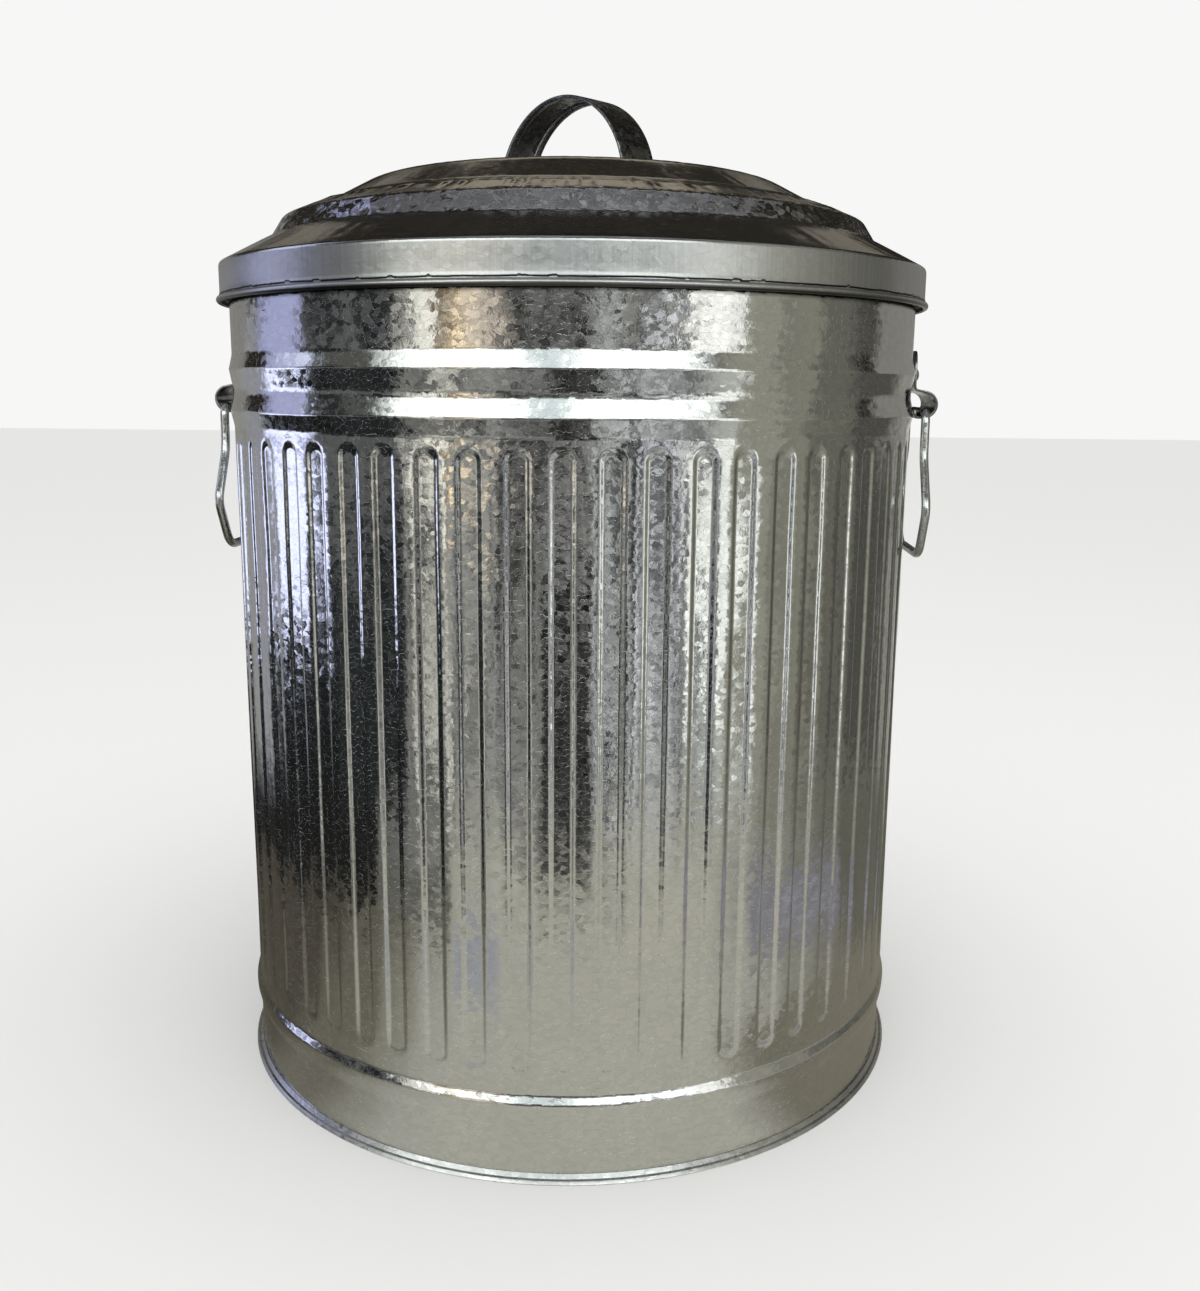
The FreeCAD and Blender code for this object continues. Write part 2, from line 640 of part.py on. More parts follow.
def earOutline(side):
    """The plate's outline seen along X, with two rounded upper corners."""
    sketch = doc.addObject("Sketcher::SketchObject", "ear_outline_" + side)
    sketch.Placement = Placement(Vector(0, 0, 0), Rotation(Vector(1, 1, 1), 120))
    half, low, high = size("earLength") / 2, size("earBottom"), size("earTop")
    r = size("earCorner")
    bottom = sketch.addGeometry(Part.LineSegment(Vector(-half, low, 0), Vector(half, low, 0)), False)
    right = sketch.addGeometry(Part.LineSegment(Vector(half, low, 0), Vector(half, high - r, 0)), False)
    over = sketch.addGeometry(
        Part.ArcOfCircle(Part.Circle(Vector(half - r, high - r, 0), zAxis, r), 0, math.pi / 2), False
    )
    top = sketch.addGeometry(Part.LineSegment(Vector(half - r, high, 0), Vector(r - half, high, 0)), False)
    back = sketch.addGeometry(
        Part.ArcOfCircle(Part.Circle(Vector(r - half, high - r, 0), zAxis, r), math.pi / 2, math.pi), False
    )
    left = sketch.addGeometry(Part.LineSegment(Vector(-half, high - r, 0), Vector(-half, low, 0)), False)
    for kind, places in (
        ("Coincident", (bottom, 2, right, 1)),
        ("Tangent", (right, 2, over, 1)),
        ("Tangent", (over, 2, top, 1)),
        ("Tangent", (top, 2, back, 1)),
        ("Tangent", (back, 2, left, 1)),
        ("Coincident", (left, 2, bottom, 1)),
        ("Horizontal", (bottom,)),
        ("Vertical", (right,)),
        ("Vertical", (left,)),
        ("Horizontal", (top,)),
        ("Equal", (over, back)),
    ):
        sketch.addConstraint(Sketcher.Constraint(kind, *places))
    for kind, places, value, formula in (
        ("Radius", (over,), r, cell("earCorner")),
        ("DistanceX", (-1, 1, right, 1), half, cell("earLength") + " / 2"),
        ("DistanceX", (bottom, 1, bottom, 2), 2 * half, cell("earLength")),
        ("DistanceY", (-1, 1, bottom, 1), low, cell("earBottom")),
        ("DistanceY", (-1, 1, top, 1), high, cell("earTop")),
    ):
        held = sketch.addConstraint(Sketcher.Constraint(kind, *places, value))
        sketch.setExpression("Constraints[%d]" % held, formula)
    return extruded("ear_outline_solid_" + side, sketch, Vector(1, 0, 0), cell("toolReach"), "0")


def earRivets(side):
    shape = rivet("earGrip")
    seat = size("earInner") + size("earThick")
    pieces = []
    for row, sign in (("front", -1), ("back", 1)):
        turn = Rotation(zAxis, sign * size("earRivetTurn") + (180 if side == "left" else 0))
        lie = turn.multiply(Rotation(Vector(0, 1, 0), 90))
        place = turn.multVec(Vector(seat, 0, 0)) + Vector(0, 0, size("earRivetZ"))
        pieces.append(addPiece("ear_rivet_%s_%s" % (side, row), shape, Placement(place, lie)))
    return pieces


# ---- side handles


def bendPoints(corners, radii, steps):
    """The points of a bent wire's middle line: its ends, and a few on the arc that rounds each inner corner."""
    points = [corners[0]]
    for before, corner, after, radius in zip(corners, corners[1:], corners[2:], radii):
        inward = (before - corner).normalize()
        outward = (after - corner).normalize()
        half = inward.getAngle(outward) / 2
        centre = corner + (inward + outward).normalize() * (radius / math.sin(half))
        spoke = corner + inward * (radius / math.tan(half)) - centre
        sweep = math.degrees(math.pi - 2 * half)
        normal = inward.cross(outward)
        for step in range(steps + 1):
            points.append(centre + Rotation(normal, -sweep * step / steps).multVec(spoke))
    points.append(corners[-1])
    return points


def wire(points, radius):
    """An eight-sided wire along points in the YZ plane, mitred at each of them."""
    rings = []
    for i, here in enumerate(points):
        before = here - points[max(i - 1, 0)]
        after = points[min(i + 1, len(points) - 1)] - here
        ways = [way.normalize() for way in (before, after) if way.Length > tiny]
        along = (ways[0] + ways[-1]).normalize()
        side = along.cross(Vector(1, 0, 0)) * (radius / along.dot(ways[0]))
        turns = [math.radians(45 * step + 22.5) for step in range(8)]
        rings.append([here + Vector(radius, 0, 0) * math.cos(t) + side * math.sin(t) for t in turns])
    faces = [Part.Face(Part.makePolygon(ring + ring[:1])) for ring in (rings[0], rings[-1])]
    for near, far in zip(rings, rings[1:]):
        for k in range(8):
            corners = [near[k - 1], near[k], far[k], far[k - 1], near[k - 1]]
            faces.append(Part.Face(Part.makePolygon(corners)))
    return Part.Solid(Part.Shell(faces))


def bail(side):
    """A wire side handle, hanging. Its ends meet in the middle of the top bar, inside the ear's loop."""
    names = ("Top", "Neck", "Grip", "Foot")
    across = [size("bail%sHalf" % name) for name in names]
    down = [0, size("bailNeckDrop"), size("bailGripDrop"), size("bailDrop")]
    bends = [size("bail%sBend" % name) for name in names]
    near = [Vector(0, y, -z) for y, z in zip(across, down)]
    far = [Vector(0, -y, -z) for y, z in zip(across, down)]
    split = size("bailSplit")
    corners = [Vector(0, split, 0)] + near + far[::-1] + [Vector(0, -split, 0)]
    points = bendPoints(corners, bends + bends[::-1], int(size("bailBendSteps")))
    parts = [addPiece("bail_wire_" + side, wire(points, size("bailCore")), Placement())]
    for row, sign in (("front", -1), ("back", 1)):
        bar = cylinder("bail_bar_%s_%s" % (row, side), cell("bailWire"), cell("bailBar"))
        bar.Placement = Placement(Vector(0, sign * split, 0), Rotation(Vector(1, 0, 0), -90 * sign))
        parts.append(bar)
    turn = Rotation(zAxis, 180 if side == "left" else 0)
    place = turn.multVec(Vector(size("bailR"), 0, 0)) + Vector(0, 0, size("bailZ"))
    result = fused("bail_" + side, *parts)
    result.Placement = Placement(place, turn)
    return result


# ---- everything together


def lidWithHoles(blank):
    """The lid's crown, drilled for the handle's rivets."""
    drills = doc.addObject("Part::MultiFuse", "crown_drills")
    drills.Shapes = [drill("crown_drill_%d" % i, u, v) for i, (u, v) in enumerate(handleRivetPlaces)]
    turnStrap(drills)
    return cut("lid_crown", blank, drills)


pieces = [canWall(), bottomPan(), lidWithHoles(lidSheet()), lidHandle()]
pieces += handleRivets()
for side in ("left", "right"):
    pieces.append(ear(side))
    pieces += earRivets(side)
    pieces.append(bail(side))
doc.recompute()

failed = [item.Name for item in doc.Objects if "Invalid" in item.State or "Error" in item.State]
if failed:
    raise RuntimeError("these did not build: %s" % failed)
for piece in pieces:
    if piece.Shape.isNull() or not piece.Shape.isValid():
        raise RuntimeError("%s has no sound shape" % piece.Name)

os.makedirs("parts", exist_ok=True)
for piece in pieces:
    piece.Label = piece.Name
    piece.Shape.exportStep("parts/%s.step" % piece.Label)
    box = piece.Shape.optimalBoundingBox()
    print("%s %d solid %.0f mm3, z %.1f to %.1f" % (
        piece.Label, len(piece.Shape.Solids), piece.Shape.Volume, box.ZMin, box.ZMax))
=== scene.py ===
import math
import random

import bmesh
import bpy
import numpy as np
from mathutils import Matrix, Vector


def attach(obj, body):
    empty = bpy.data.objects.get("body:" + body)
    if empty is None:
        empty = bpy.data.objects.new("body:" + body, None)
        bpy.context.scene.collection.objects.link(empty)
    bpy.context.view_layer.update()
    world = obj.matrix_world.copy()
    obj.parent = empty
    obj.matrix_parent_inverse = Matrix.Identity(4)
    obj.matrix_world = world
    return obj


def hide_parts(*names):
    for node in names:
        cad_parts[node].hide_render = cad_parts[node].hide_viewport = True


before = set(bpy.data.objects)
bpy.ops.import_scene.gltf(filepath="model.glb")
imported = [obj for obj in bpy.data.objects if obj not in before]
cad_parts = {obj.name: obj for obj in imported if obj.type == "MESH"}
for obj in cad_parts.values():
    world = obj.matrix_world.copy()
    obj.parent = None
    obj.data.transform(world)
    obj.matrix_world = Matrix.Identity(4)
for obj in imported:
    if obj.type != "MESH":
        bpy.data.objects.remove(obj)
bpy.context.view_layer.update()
mm = 0.001
fullTurn = 2 * math.pi
print("frame loaded with", len(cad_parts), "nodes")

# Lengths in the dictionaries are millimetres. An azimuth is in degrees from the front, -Y, towards +X.


def finishMesh(name, points, faces):
    mesh = bpy.data.meshes.new(name)
    mesh.from_pydata(np.asarray(points).tolist(), [], [list(map(int, f)) for f in faces])
    work = bmesh.new()
    work.from_mesh(mesh)
    bmesh.ops.remove_doubles(work, verts=work.verts, dist=1e-6)  # welds the points that fall together
    bmesh.ops.recalc_face_normals(work, faces=work.faces)
    work.to_mesh(mesh)
    work.free()
    mesh.shade_smooth()
    piece = bpy.data.objects.new(name, mesh)
    bpy.context.scene.collection.objects.link(piece)
    return piece


def evenTurns(columns):
    # azimuths in radians, all the way round
    return np.linspace(0, fullTurn, columns, endpoint=False)[None, :]


def roundMesh(name, radius, turn, z, closedUp=True):
    # rows of points round the can: every row closes on itself, and closedUp joins the last row to the first
    points = np.stack(np.broadcast_arrays(radius * np.sin(turn), -radius * np.cos(turn), z), axis=-1)
    rows, columns = points.shape[:2]
    lower = np.arange(rows if closedUp else rows - 1)
    upper = (lower + 1) % rows
    here = np.arange(columns)
    following = (here + 1) % columns
    faces = np.stack([
        lower[:, None] * columns + here,
        lower[:, None] * columns + following,
        upper[:, None] * columns + following,
        upper[:, None] * columns + here,
    ], axis=-1).reshape(-1, 4)
    return finishMesh(name, points.reshape(-1, 3) * mm, faces)


def rounded(corners, steps=4):
    # corners are (x, z, cut): each is swapped for a short curve that starts and ends its cut away from it
    path = []
    for i, (x, z, cut) in enumerate(corners):
        here = np.array([x, z], float)
        if cut <= 0 or i in (0, len(corners) - 1):
            path.append(here)
            continue
        before = np.array(corners[i - 1][:2], float) - here
        after = np.array(corners[i + 1][:2], float) - here
        start = here + before / np.linalg.norm(before) * cut
        end = here + after / np.linalg.norm(after) * cut
        for t in np.linspace(0, 1, steps + 1):
            path.append((1 - t) ** 2 * start + 2 * t * (1 - t) * here + t ** 2 * end)
    return np.array(path)


def divided(path, longest):
    # adds points so that no run of the path is longer than that
    points = [path[0]]
    for a, b in zip(path, path[1:]):
        parts = max(1, math.ceil(np.linalg.norm(b - a) / longest))
        points += [a + (b - a) * k / parts for k in range(1, parts + 1)]
    return np.array(points)


def unitRows(vectors):
    return vectors / np.maximum(np.linalg.norm(vectors, axis=1, keepdims=True), 1e-9)


def offsetPath(path, distance):
    # the path moved to its right by a distance
    ahead = np.vstack([path[1:] - path[:-1], path[-1:] - path[-2:-1]])
    behind = np.vstack([path[1:2] - path[:1], path[1:] - path[:-1]])
    along = unitRows(unitRows(ahead) + unitRows(behind))
    return path + np.stack([along[:, 1], -along[:, 0]], axis=1) * distance


def arcPath(centreR, centreZ, radius, start, end, steps):
    # an arc in the can's section, from one angle in degrees to another
    swing = np.radians(np.linspace(start, end, steps))
    return np.stack([centreR + radius * np.cos(swing), centreZ + radius * np.sin(swing)], axis=1)


def rising(value, start, length):
    # 0 up to the start, and 1 from a length beyond it
    return np.clip((value - start) / length, 0, 1)


def falling(value, end, length):
    return np.clip((end - value) / length, 0, 1)


def eased(share):
    return share * share * (3 - 2 * share)


def waves(seed, count, most, longestRise):
    # slow unevenness over the can's surface, about -1 to 1, from whole numbers of waves round it
    draw = random.Random(seed)
    parts = [(draw.randint(1, most), draw.uniform(0, fullTurn), draw.uniform(0.2, 1) / longestRise,
              draw.uniform(0, fullTurn), draw.uniform(0.4, 1)) for _ in range(count)]
    scale = 1 / math.sqrt(sum(p[4] ** 2 for p in parts) / 4)

    def height(turn, z):
        total = 0
        for turns, phase, rise, lift, strength in parts:
            total = total + strength * np.cos(turns * turn + phase) * np.cos(fullTurn * rise * z + lift)
        return total * scale
    return height


def nodeKit(tree):
    # add() makes a node, wires or sets its inputs and returns its first output
    def add(kind, inputs=None, output=0, **settings):
        node = tree.nodes.new(kind)
        for key, value in settings.items():
            setattr(node, key, value)
        for key, value in (inputs or {}).items():
            if isinstance(value, bpy.types.NodeSocket):
                tree.links.new(value, node.inputs[key])
            else:
                node.inputs[key].default_value = value
        return node.outputs[output] if node.outputs else node
    return add


def calc(add, operation, a, b=0.0, clamp=False):
    return add("ShaderNodeMath", {0: a, 1: b}, operation=operation, use_clamp=clamp)


def vectorCalc(add, operation, a, b=(0, 0, 0), output=0):
    return add("ShaderNodeVectorMath", {0: a, 1: b}, output, operation=operation)


def spread(add, value, fromLow, fromHigh, low, high):
    # maps a value from one range to another, held at its ends
    return add("ShaderNodeMapRange", {"Value": value, "From Min": fromLow, "From Max": fromHigh,
                                      "To Min": low, "To Max": high})


def noise(add, vector, scale, detail, roughness=0.5, output=0):
    inputs = {"Vector": vector, "Scale": scale, "Detail": detail, "Roughness": roughness}
    return add("ShaderNodeTexNoise", inputs, output)


def mixColour(add, factor, a, b, blend="MIX"):
    # inputs 6 and 7 and output 2 are the colours of a mix node
    return add("ShaderNodeMix", {"Factor": factor, 6: a, 7: b}, 2, data_type="RGBA", blend_type=blend)


# zinc, the finish of every piece; "zinc" in a piece's dictionary says where its own differs
zincLook = {
    "flake": 4.8,  # size of a zinc crystal
    "wide": 1.5,  # how much wider than high it is
    "tilt": 0.042,  # how far crystals lean from the sheet
    "dark": (0.64, 0.65, 0.655),
    "light": (0.82, 0.825, 0.825),
    "rough": (0.05, 0.13),  # of the smoothest and the dullest crystal
    "streak": 0.0,  # fine lines drawn along the sheet, up and down the can
    "bloom": 0.3,  # how much of the sheet has a chalky bloom
    "flaked": None,  # the heights between which crystals show in full, or None for everywhere
    "satin": None,  # a height and the roughness of the drawn sheet below it
    "creviceShade": None,  # height and half width of a dark wavering line of painted shade along a groove
    "paintedShade": (),  # painted shade: dark bands where shade falls, as (low, high, softness, strength)
    "seed": 0.0,
    "bloomTint": (0.60, 0.605, 0.59),
    # the near-black colour of the painted shade bands
    "paintedShadeTint": (0.035, 0.033, 0.03),
    # the colour of the painted shade in the crevice
    "creviceShadeTint": (0.02, 0.02, 0.02),
    # how fine each pattern is, per metre
    "featherScale": 210.0,  # the crystals' ragged borders
    "fernScale": 14000.0,  # the pattern inside a crystal
    "patchScale": 11.0,
    "bloomScale": 30.0,
    "lineScale": 700.0,
    "grainScale": 2200.0,
    "waverScale": 45.0,  # how the painted crevice shade wanders, and its nicks
    "nickScale": 130.0,
    # how much each one shows, in the grey first
    "featherReach": 0.85,  # in crystal sizes
    "crystalShade": 0.32,
    "fernShade": 0.06,
    "patchShade": 0.9,
    "drawnStreak": 1.1,  # how much more the lines show below the satin's height
    "faint": 0.12,  # what shows of the crystals outside the flaked heights
    "bloomDull": 0.14,
    "streakDull": 0.25,
    "satinDull": 0.12,
    "patchDull": 0.08,
    "lineHeight": 0.04,
    "grainHeight": 0.002,
    "waver": 1.6,
    "nick": 0.8,
}


def galvanized(name, **changes):
    look = {**zincLook, **changes}
    material = bpy.data.materials.new(name)
    material.use_nodes = True
    tree = material.node_tree
    tree.nodes.clear()
    add = nodeKit(tree)

    def times(a, b):
        return calc(add, "MULTIPLY", a, b)

    def plus(a, b, clamp=False):
        return calc(add, "ADD", a, b, clamp)

    def swing(pattern, strength):
        # a pattern from 0 to 1 turned into one about zero
        return times(calc(add, "SUBTRACT", pattern, 0.5), strength)

    place = add("ShaderNodeTexCoord", output=3)
    up = add("ShaderNodeSeparateXYZ", {0: place}, 2)
    shifted = vectorCalc(add, "ADD", place, (look["seed"], look["seed"] * 0.7, look["seed"] * 0.3))

    def band(low, high, soft, inside=1.0, outside=0.0):
        # the sheet between two heights
        away = calc(add, "ABSOLUTE", calc(add, "SUBTRACT", up, (low + high) / 2 * mm))
        half = (high - low) / 2
        return spread(add, away, (half - soft) * mm, (half + soft) * mm, inside, outside)

    # crystals with feathered borders, each with its own grey, gloss and lean
    feather = noise(add, shifted, look["featherScale"], 3.5, 0.6, 1)
    feather = vectorCalc(add, "SUBTRACT", feather, (0.5, 0.5, 0.5))
    bent = vectorCalc(add, "MULTIPLY_ADD", feather, (look["featherReach"] * look["flake"] * mm,) * 3)
    tree.links.new(shifted, bent.node.inputs[2])
    bent = vectorCalc(add, "MULTIPLY", bent, (1.0, 1.0, look["wide"]))
    crystal = add("ShaderNodeTexVoronoi", {"Vector": bent, "Scale": 1000 / look["flake"]}, 1)
    own = vectorCalc(add, "SUBTRACT", crystal, (0.5, 0.5, 0.5))
    share = add("ShaderNodeSeparateXYZ", {0: crystal}).node
    grey, gloss = share.outputs[0], share.outputs[1]
    fromCentre = vectorCalc(add, "SUBTRACT", bent, crystal.node.outputs["Position"])
    lean = vectorCalc(add, "DOT_PRODUCT", fromCentre, own, 1)
    fern = vectorCalc(add, "DOT_PRODUCT", bent, own, 1)
    fern = calc(add, "SINE", times(fern, look["fernScale"]))
    shown = band(*look["flaked"], 1.0, 1.0, look["faint"]) if look["flaked"] else 1.0

    # broad patches, chalky bloom, fine drawn lines and grain
    patch = noise(add, shifted, look["patchScale"], 5.0, 0.6)
    bloom = noise(add, shifted, look["bloomScale"], 7.0, 0.7)
    bloom = spread(add, bloom, 0.64 - 0.2 * look["bloom"], 0.86, 0.0, 0.5)
    stretched = vectorCalc(add, "MULTIPLY", shifted, (1.0, 1.0, 0.012))
    lines = noise(add, stretched, look["lineScale"], 5.0, 0.75)
    drawn = band(0, look["satin"][0], 0.6) if look["satin"] else 0.0
    streak = times(swing(lines, look["streak"]), plus(1.0, times(drawn, look["drawnStreak"])))
    grain = noise(add, shifted, look["grainScale"], 2.0)

    shade = times(plus(swing(grey, look["crystalShade"]), times(fern, look["fernShade"])), shown)
    shade = plus(shade, swing(patch, look["patchShade"]))
    shade = plus(plus(shade, streak), 0.5, True)
    colour = mixColour(add, shade, (*look["dark"], 1), (*look["light"], 1))
    colour = mixColour(add, bloom, colour, (*look["bloomTint"], 1))
    # painted shade: each band darkens the colour towards the shade tint
    for low, high, soft, strength in look["paintedShade"]:
        colour = mixColour(add, band(low, high, soft, strength), colour, (*look["paintedShadeTint"], 1))
    # painted shade: a dark wavering line with nicks along the groove
    if look["creviceShade"]:
        level, half = look["creviceShade"]
        ring = vectorCalc(add, "MULTIPLY", place, (1.0, 1.0, 0.0))
        wander = swing(noise(add, ring, look["waverScale"], 3.0), look["waver"] * mm)
        nicks = spread(add, noise(add, ring, look["nickScale"], 1.0), 0.60, 0.68, 0.0, look["nick"] * mm)
        off = calc(add, "SUBTRACT", calc(add, "SUBTRACT", up, level * mm), plus(wander, nicks))
        off = calc(add, "ABSOLUTE", off)
        dark = spread(add, off, (half - 0.15) * mm, (half + 0.15) * mm, 0.96, 0.0)
        colour = mixColour(add, dark, colour, (*look["creviceShadeTint"], 1))

    low, high = look["rough"]
    rough = plus(times(swing(gloss, shown), high - low), (low + high) / 2)
    rough = plus(rough, times(bloom, look["bloomDull"]))
    rough = plus(rough, times(streak, look["streakDull"]))
    rough = plus(rough, swing(patch, look["patchDull"]), True)
    if look["satin"]:
        dulled = plus(look["satin"][1], times(streak, look["satinDull"]))
        rough = add("ShaderNodeMix", {0: drawn, 2: rough, 3: dulled})

    height = times(times(lean, look["tilt"]), shown)
    height = plus(height, times(lines, look["lineHeight"] * mm * look["streak"]))
    height = plus(height, times(grain, look["grainHeight"] * mm))
    bump = add("ShaderNodeBump", {"Height": height, "Strength": 1.0, "Distance": 1.0})

    shader = add("ShaderNodeBsdfPrincipled", {"Base Color": colour, "Metallic": 1.0, "Roughness": rough,
                                              "Normal": bump})
    add("ShaderNodeOutputMaterial", {"Surface": shader})
    return material


def settle(piece, body, node, material):
    # a finished piece: its material, the body it moves with and the node it stands for
    piece.data.materials.clear()
    piece.data.materials.append(material)
    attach(piece, body)
    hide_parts(node)
    return piece


# the wall: beads, flutes, curled rim and back seam in one sheet
wall = {
    "radius": 236.0,
    "thick": 0.8,
    # a bead's foot, its crest from and to, its top, and how far it stands out
    "beads": (
        (38.0, 46.5, 51.5, 57.3, 2.6),
        (449.3, 459.2, 460.2, 470.5, 2.2),
        (474.0, 486.0, 487.0, 496.0, 2.2),
    ),
    "beadRound": 1.6,
    "pairs": 28,  # pairs of flutes round the can
    "fluteTurn": 3.05,  # from the middle of a pair to a flute's middle
    "fluteEnds": (69.0, 445.0),
    "fluteWidth": 15.6,
    "fluteDepth": 1.2,
    "fluteSlope": 2.97,  # width of a flute's side, and of its run-out at the ends
    "endSlope": 7.0,
    "endFade": (26.0, 0.48),  # how far up the flutes grow shallow towards the foot, and by how much
    "fluteColumns": (0, 2.6, 4.2, 4.9, 5.7, 6.5, 7.3, 8.3),  # the mesh's columns, from a flute's middle
    "fadeRows": (82, 87, 92, 98),
    "foot": 0.9,
    "footRows": (0, 0.4, 1.4),  # close rows keep the shading of the foot's edge crisp
    "neck": (547.6, 548.5),  # the last rows below the curl
    "rowGap": 18,
    "rim": (237.6, 551.4, 2.1),  # the curl's centre and radius
    "rimArc": (-140, 135, 16),  # from under its outside, over the top, to the inner face
    "dents": 0.22,
    "seamTurn": 186.43,
    "seamWidth": 7.5,
    "seamProud": 0.7,
    "seamEnds": (9, 546),
    "seamColumns": (3.2, 3.75, 4.3),
    # painted shadow: a dark band on the wall just under the lid's hem
    "zinc": {"seed": 3.1, "paintedShade": ((527.5, 531.5, 1.2, 0.85),)},
}


def fluteDepth(turn, z):
    # how far the flutes press the sheet in, at an azimuth in radians and a height
    pair = fullTurn / wall["pairs"]
    local = np.abs((turn + pair / 2) % pair - pair / 2) - math.radians(wall["fluteTurn"])
    half = wall["fluteWidth"] / 2
    low, high = wall["fluteEnds"]
    beyond = np.maximum(np.maximum(low + half - z, z - high + half), 0)
    runOut = np.clip(beyond / half * 1.3, 0, 1)
    slope = wall["fluteSlope"] + (wall["endSlope"] - wall["fluteSlope"]) * runOut
    inside = np.clip((half - np.hypot(local * wall["radius"], beyond)) / slope, 0, 1)
    straight = 0.45 + 0.5 * runOut
    reach, share = wall["endFade"]
    depth = wall["fluteDepth"] * (1 - share * eased(falling(z, low + reach, reach)))
    return depth * (straight * inside + (1 - straight) * eased(inside))


def seamRise(turn, z):
    # the lock seam: a flat strip that stands out, with soft edges
    off = (turn - math.radians(wall["seamTurn"]) + math.pi) % fullTurn - math.pi
    edge = falling(np.abs(off) * wall["radius"], wall["seamWidth"] / 2 + 0.5, 1.0)
    low, high = wall["seamEnds"]
    return wall["seamProud"] * edge * rising(z, low, 1.5) * falling(z, high, 1.5)


def wallColumns():
    # close columns where a flute or the seam bends the sheet
    radius = wall["radius"]
    offsets = [-u for u in wall["fluteColumns"][:0:-1]] + list(wall["fluteColumns"])
    flute = math.radians(wall["fluteTurn"])
    pair = fullTurn / wall["pairs"]
    turns = []
    for k in range(wall["pairs"]):
        middle = k * pair
        turns += [middle, middle + pair / 2]
        turns += [middle + flute + u / radius for u in offsets]
        turns += [middle + pair - flute + u / radius for u in offsets]
    seam = math.radians(wall["seamTurn"])
    for u in wall["seamColumns"]:
        turns += [seam - u / radius, seam + u / radius]
    turns = sorted(t % fullTurn for t in turns)
    kept = [turns[0]]
    for t in turns[1:]:
        if t - kept[-1] > 0.0002:
            kept.append(t)
    return np.array(kept)


def wallRows():
    # the sheet's outer face from the foot to the rim, as radius and height
    radius, bend = wall["radius"], wall["beadRound"]
    corners = [(radius, wall["foot"] + rise, 0) for rise in wall["footRows"]]
    for foot, crestLow, crestHigh, top, proud in wall["beads"]:
        turnBack = min(bend, (crestHigh - crestLow) / 2)
        corners += [(radius, foot, bend), (radius + proud, crestLow, turnBack),
                    (radius + proud, crestHigh, turnBack), (radius, top, bend)]
    corners += [(radius, z, 0) for z in wall["neck"]]
    path = divided(rounded(corners, 5), wall["rowGap"])
    low, high = wall["fluteEnds"]
    half = wall["fluteWidth"] / 2
    ends = np.concatenate([np.linspace(low - 0.6, low + half + 0.6, 11), wall["fadeRows"],
                           np.linspace(high - half - 0.6, high + 0.6, 11)])
    kept = [p for p in path if np.min(np.abs(ends - p[1])) > 1.0]
    kept += [np.array([radius, z]) for z in ends]
    kept.sort(key=lambda p: p[1])
    return np.array(kept)


def makeWall():
    turn = wallColumns()[None, :]
    outer = wallRows()
    rim = arcPath(*wall["rim"], *wall["rimArc"])
    inner = outer[::-1] - (wall["thick"], 0)
    path = np.vstack([outer, rim, inner])
    row = np.arange(len(path))[:, None]
    outside = row < len(outer)
    onSheet = outside | (row >= len(outer) + len(rim))
    z = np.repeat(path[:, 1:2], turn.shape[1], axis=1)
    calm = falling(z, 546, 30) * rising(z, 0, 30)  # the dents die away towards the rim and the foot
    uneven = waves(11, 14, 9, 260)(turn, z) * 0.6 + waves(12, 22, 34, 90)(turn, z) * 0.4
    r = path[:, 0:1] - fluteDepth(turn, z) + (uneven - 0.5) * wall["dents"] * calm * onSheet
    r = r + seamRise(turn, z) * outside
    return roundMesh("wallSheet", r, turn, z)


wallPiece = settle(makeWall(), "can", "can_wall", galvanized("wallZinc", **wall["zinc"]))
print("wall made:", len(wallPiece.data.polygons), "faces")


# the floor, folded round the wall's foot
pan = {
    # the section from the middle out, round the foot rim and back underneath: radius, height and corner cut
    "profile": (
        (0, 12.0, 0), (150, 12.0, 3), (158, 11.4, 3), (166, 11.4, 3), (174, 12.0, 3),
        (233.6, 12.0, 1.5), (235.1, 10.4, 1.2), (235.1, 0.85, 0), (236.08, 0.85, 0), (236.08, 5.2, 0),
        (236.4, 5.3, 0.12), (238.0, 2.5, 0.15), (239.6, 2.35, 0.2), (240.95, 0.3, 0.2), (240.6, 0, 0.15),
        (235.4, 0, 0.9), (234.35, 0.9, 0.8), (234.35, 9.6, 1.2), (232.8, 11.2, 1.5),
        (174, 11.2, 3), (166, 10.6, 3), (158, 10.6, 3), (150, 11.2, 3), (0, 11.2, 0),
    ),
    "columns": 300,
    "rowGap": 30,
    "zinc": {"seed": 7.7, "rough": (0.24, 0.42), "bloom": 0.6},
}


def makePan():
    path = divided(rounded(pan["profile"], 4), pan["rowGap"])
    return roundMesh("floorPan", path[:, 0:1], evenTurns(pan["columns"]), path[:, 1:2])


settle(makePan(), "can", "bottom_pan", galvanized("panZinc", **pan["zinc"]))
print("floor made")


